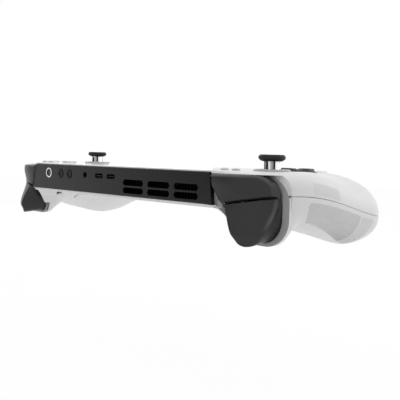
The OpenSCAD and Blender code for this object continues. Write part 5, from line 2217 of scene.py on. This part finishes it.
@dataclass
class Studio:
    """Floor, light and camera."""

    yaw: float = 43.87
    pitch: float = 3.97
    roll: float = 1.62
    eye: Triple = (-329.56, 250.01, 7.28)
    lens: float = 52.753
    broad: Flag = Flag((-0.55, 0.83, 0.0), 0.0, 0.9, 0.98, 0.28)
    narrow: Flag = Flag((0.5, 0.86, 0.1), 0.9, 0.985, 1.0, 0.0)
    bounce: float = 0.88
    paper: float = 0.9
    white: float = 0.96
    drop: float = 0.09
    floor_half: float = 3.0

    def floor(self) -> None:
        """Pale floor that keeps the object's shadow and is clear from below."""
        mesh = bpy.data.meshes.new("studio_floor")
        s = self.floor_half
        corners = [(-s, -s), (s, -s), (s, s), (-s, s)]
        mesh.from_pydata([(x, y, -self.drop) for x, y in corners], [], [(0, 1, 2, 3)])
        plane = bpy.data.objects.new("studio_floor", mesh)
        bpy.context.scene.collection.objects.link(plane)
        made = bpy.data.materials.new("floor_paper")
        made.use_nodes = True
        net = Net(made.node_tree)
        made.node_tree.nodes.clear()
        path = net.add("ShaderNodeLightPath").outputs
        coords = net.add("ShaderNodeTexCoord").outputs["Object"]
        fibre = net.noise(coords, 900.0)
        tone = net.add("ShaderNodeMapRange", {"Value": fibre, "To Min": 0.97, "To Max": 1.0})
        ends = {"To Min": self.bounce, "To Max": self.paper}
        shade = net.add("ShaderNodeMapRange", {"Value": path["Is Camera Ray"], **ends})
        grey = net.math("MULTIPLY", tone.outputs[0], shade.outputs[0])
        paper = net.add("ShaderNodeBsdfDiffuse", {"Color": grey})
        white = net.add("ShaderNodeEmission", {"Color": (1, 1, 1, 1), "Strength": 1.0})
        seen = net.math("MAXIMUM", path["Is Camera Ray"], path["Is Glossy Ray"])
        seen = net.math("MAXIMUM", seen, path["Is Transmission Ray"])
        share = net.math("MULTIPLY", seen, self.white)
        mix = net.add("ShaderNodeMixShader", {0: share, 1: paper.outputs[0], 2: white.outputs[0]})
        below = net.add("ShaderNodeNewGeometry").outputs["Backfacing"]
        clear = net.add("ShaderNodeBsdfTransparent")
        mix = net.add("ShaderNodeMixShader", {0: below, 1: mix.outputs[0], 2: clear.outputs[0]})
        net.add("ShaderNodeOutputMaterial", {"Surface": mix.outputs[0]})
        mesh.materials.append(made)

    def world(self) -> None:
        """Room light that is dimmer on one side, behind a white background."""
        world = bpy.data.worlds.new("studio_room")
        bpy.context.scene.world = world
        world.use_nodes = True
        net = Net(world.node_tree)
        world.node_tree.nodes.clear()
        path = net.add("ShaderNodeLightPath").outputs
        way = net.add("ShaderNodeTexCoord").outputs["Generated"]
        levels = []
        for flag in (self.broad, self.narrow):
            toward = net.add("ShaderNodeVectorMath", {0: way, 1: flag.way}, operation="DOT_PRODUCT")
            span = {"From Min": flag.edge, "From Max": flag.core, "To Min": flag.most, "To Max": flag.least}
            span["Value"] = toward.outputs["Value"]
            levels.append(net.add("ShaderNodeMapRange", span, interpolation_type="SMOOTHSTEP"))
        gloss = net.math("MAXIMUM", path["Is Glossy Ray"], path["Is Transmission Ray"])
        ends = {"To Min": levels[0].outputs[0], "To Max": levels[1].outputs[0]}
        lit = net.add("ShaderNodeMapRange", {"Value": gloss, **ends})
        seen = net.math("MAXIMUM", lit.outputs[0], path["Is Camera Ray"])
        room = net.add("ShaderNodeBackground", {"Color": (1, 1, 1, 1), "Strength": seen})
        net.add("ShaderNodeOutputWorld", {"Surface": room.outputs[0]})

    def lamp(self, name: str, at: Triple, aim: Triple, size: float, watts: float) -> None:
        """One soft square lamp.

        Args:
            name: its name.
            at: its place in metres.
            aim: point that it faces.
            size: its side.
            watts: its power.
        """
        data = bpy.data.lights.new(name, "AREA")
        data.size, data.energy = size, watts
        lamp = bpy.data.objects.new(name, data)
        lamp.location = at
        lamp.rotation_euler = (Vector(aim) - Vector(at)).to_track_quat("-Z", "Y").to_euler()
        bpy.context.scene.collection.objects.link(lamp)

    def camera(self, bench: Bench) -> None:
        """Camera at the photograph's place.

        Args:
            bench: gives the frame's origin.
        """
        q, p, r = (math.radians(v) for v in (self.yaw, self.pitch, self.roll))
        ahead = Vector((math.sin(q) * math.cos(p), -math.cos(q) * math.cos(p), -math.sin(p)))
        side = Vector((-math.cos(q), -math.sin(q), 0))
        above = side.cross(ahead)
        right = side * math.cos(r) + above * math.sin(r)
        up = above * math.cos(r) - side * math.sin(r)
        data = bpy.data.cameras.new("photo_camera")
        data.lens, data.sensor_width, data.sensor_fit, data.clip_start = self.lens, 36.0, "HORIZONTAL", 0.01
        cam = bpy.data.objects.new("photo_camera", data)
        turn = Matrix((right, up, -ahead)).transposed().to_4x4()
        cam.matrix_world = Matrix.Translation(bench.place(np.array(self.eye)).tolist()) @ turn
        bpy.context.scene.collection.objects.link(cam)
        bpy.context.scene.camera = cam

    def build(self, bench: Bench) -> None:
        """Sets the stage.

        Args:
            bench: gives the frame's origin.
        """
        bpy.context.scene.view_settings.view_transform = "Standard"
        self.camera(bench)
        self.floor()
        self.world()
        self.lamp("top_softbox", (-0.1, -0.1, 1.2), (0, 0, 0), 1.2, 2.5)
        self.lamp("side_softbox", (1.0, -0.6, 0.4), (0, 0, 0.02), 0.8, 2.0)
        self.lamp("rear_softbox", (-0.6, -1.1, 0.4), (0, 0, 0.02), 0.8, 2.0)


def main() -> None:
    """Builds every piece in order and sets the stage."""
    logging.basicConfig(level=logging.INFO, format="%(name)s %(message)s")
    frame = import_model()
    bench = Bench(frame)
    bench.dress_nodes()
    Studio().build(bench)
    form, cluster = BodyForm(), Cluster()
    shells = Shells(form, cluster)
    shells.build(bench)
    GripLines(form).build(bench)
    cluster.build(bench)
    Band().build(bench)
    Stick(Side.LEFT, shells.stick_left).build(bench)
    Stick(Side.RIGHT, shells.stick_right).build(bench)
    DirectionPad(shells.pad).build(bench)
    Buttons(shells.face_mid, shells.face_pitch, shells.face_d, shells.small_d).build(bench)
    Display(*shells.glass).build(bench)
    LOG.info("%d pieces made", bench.count)


if __name__ == "__main__":
    main()
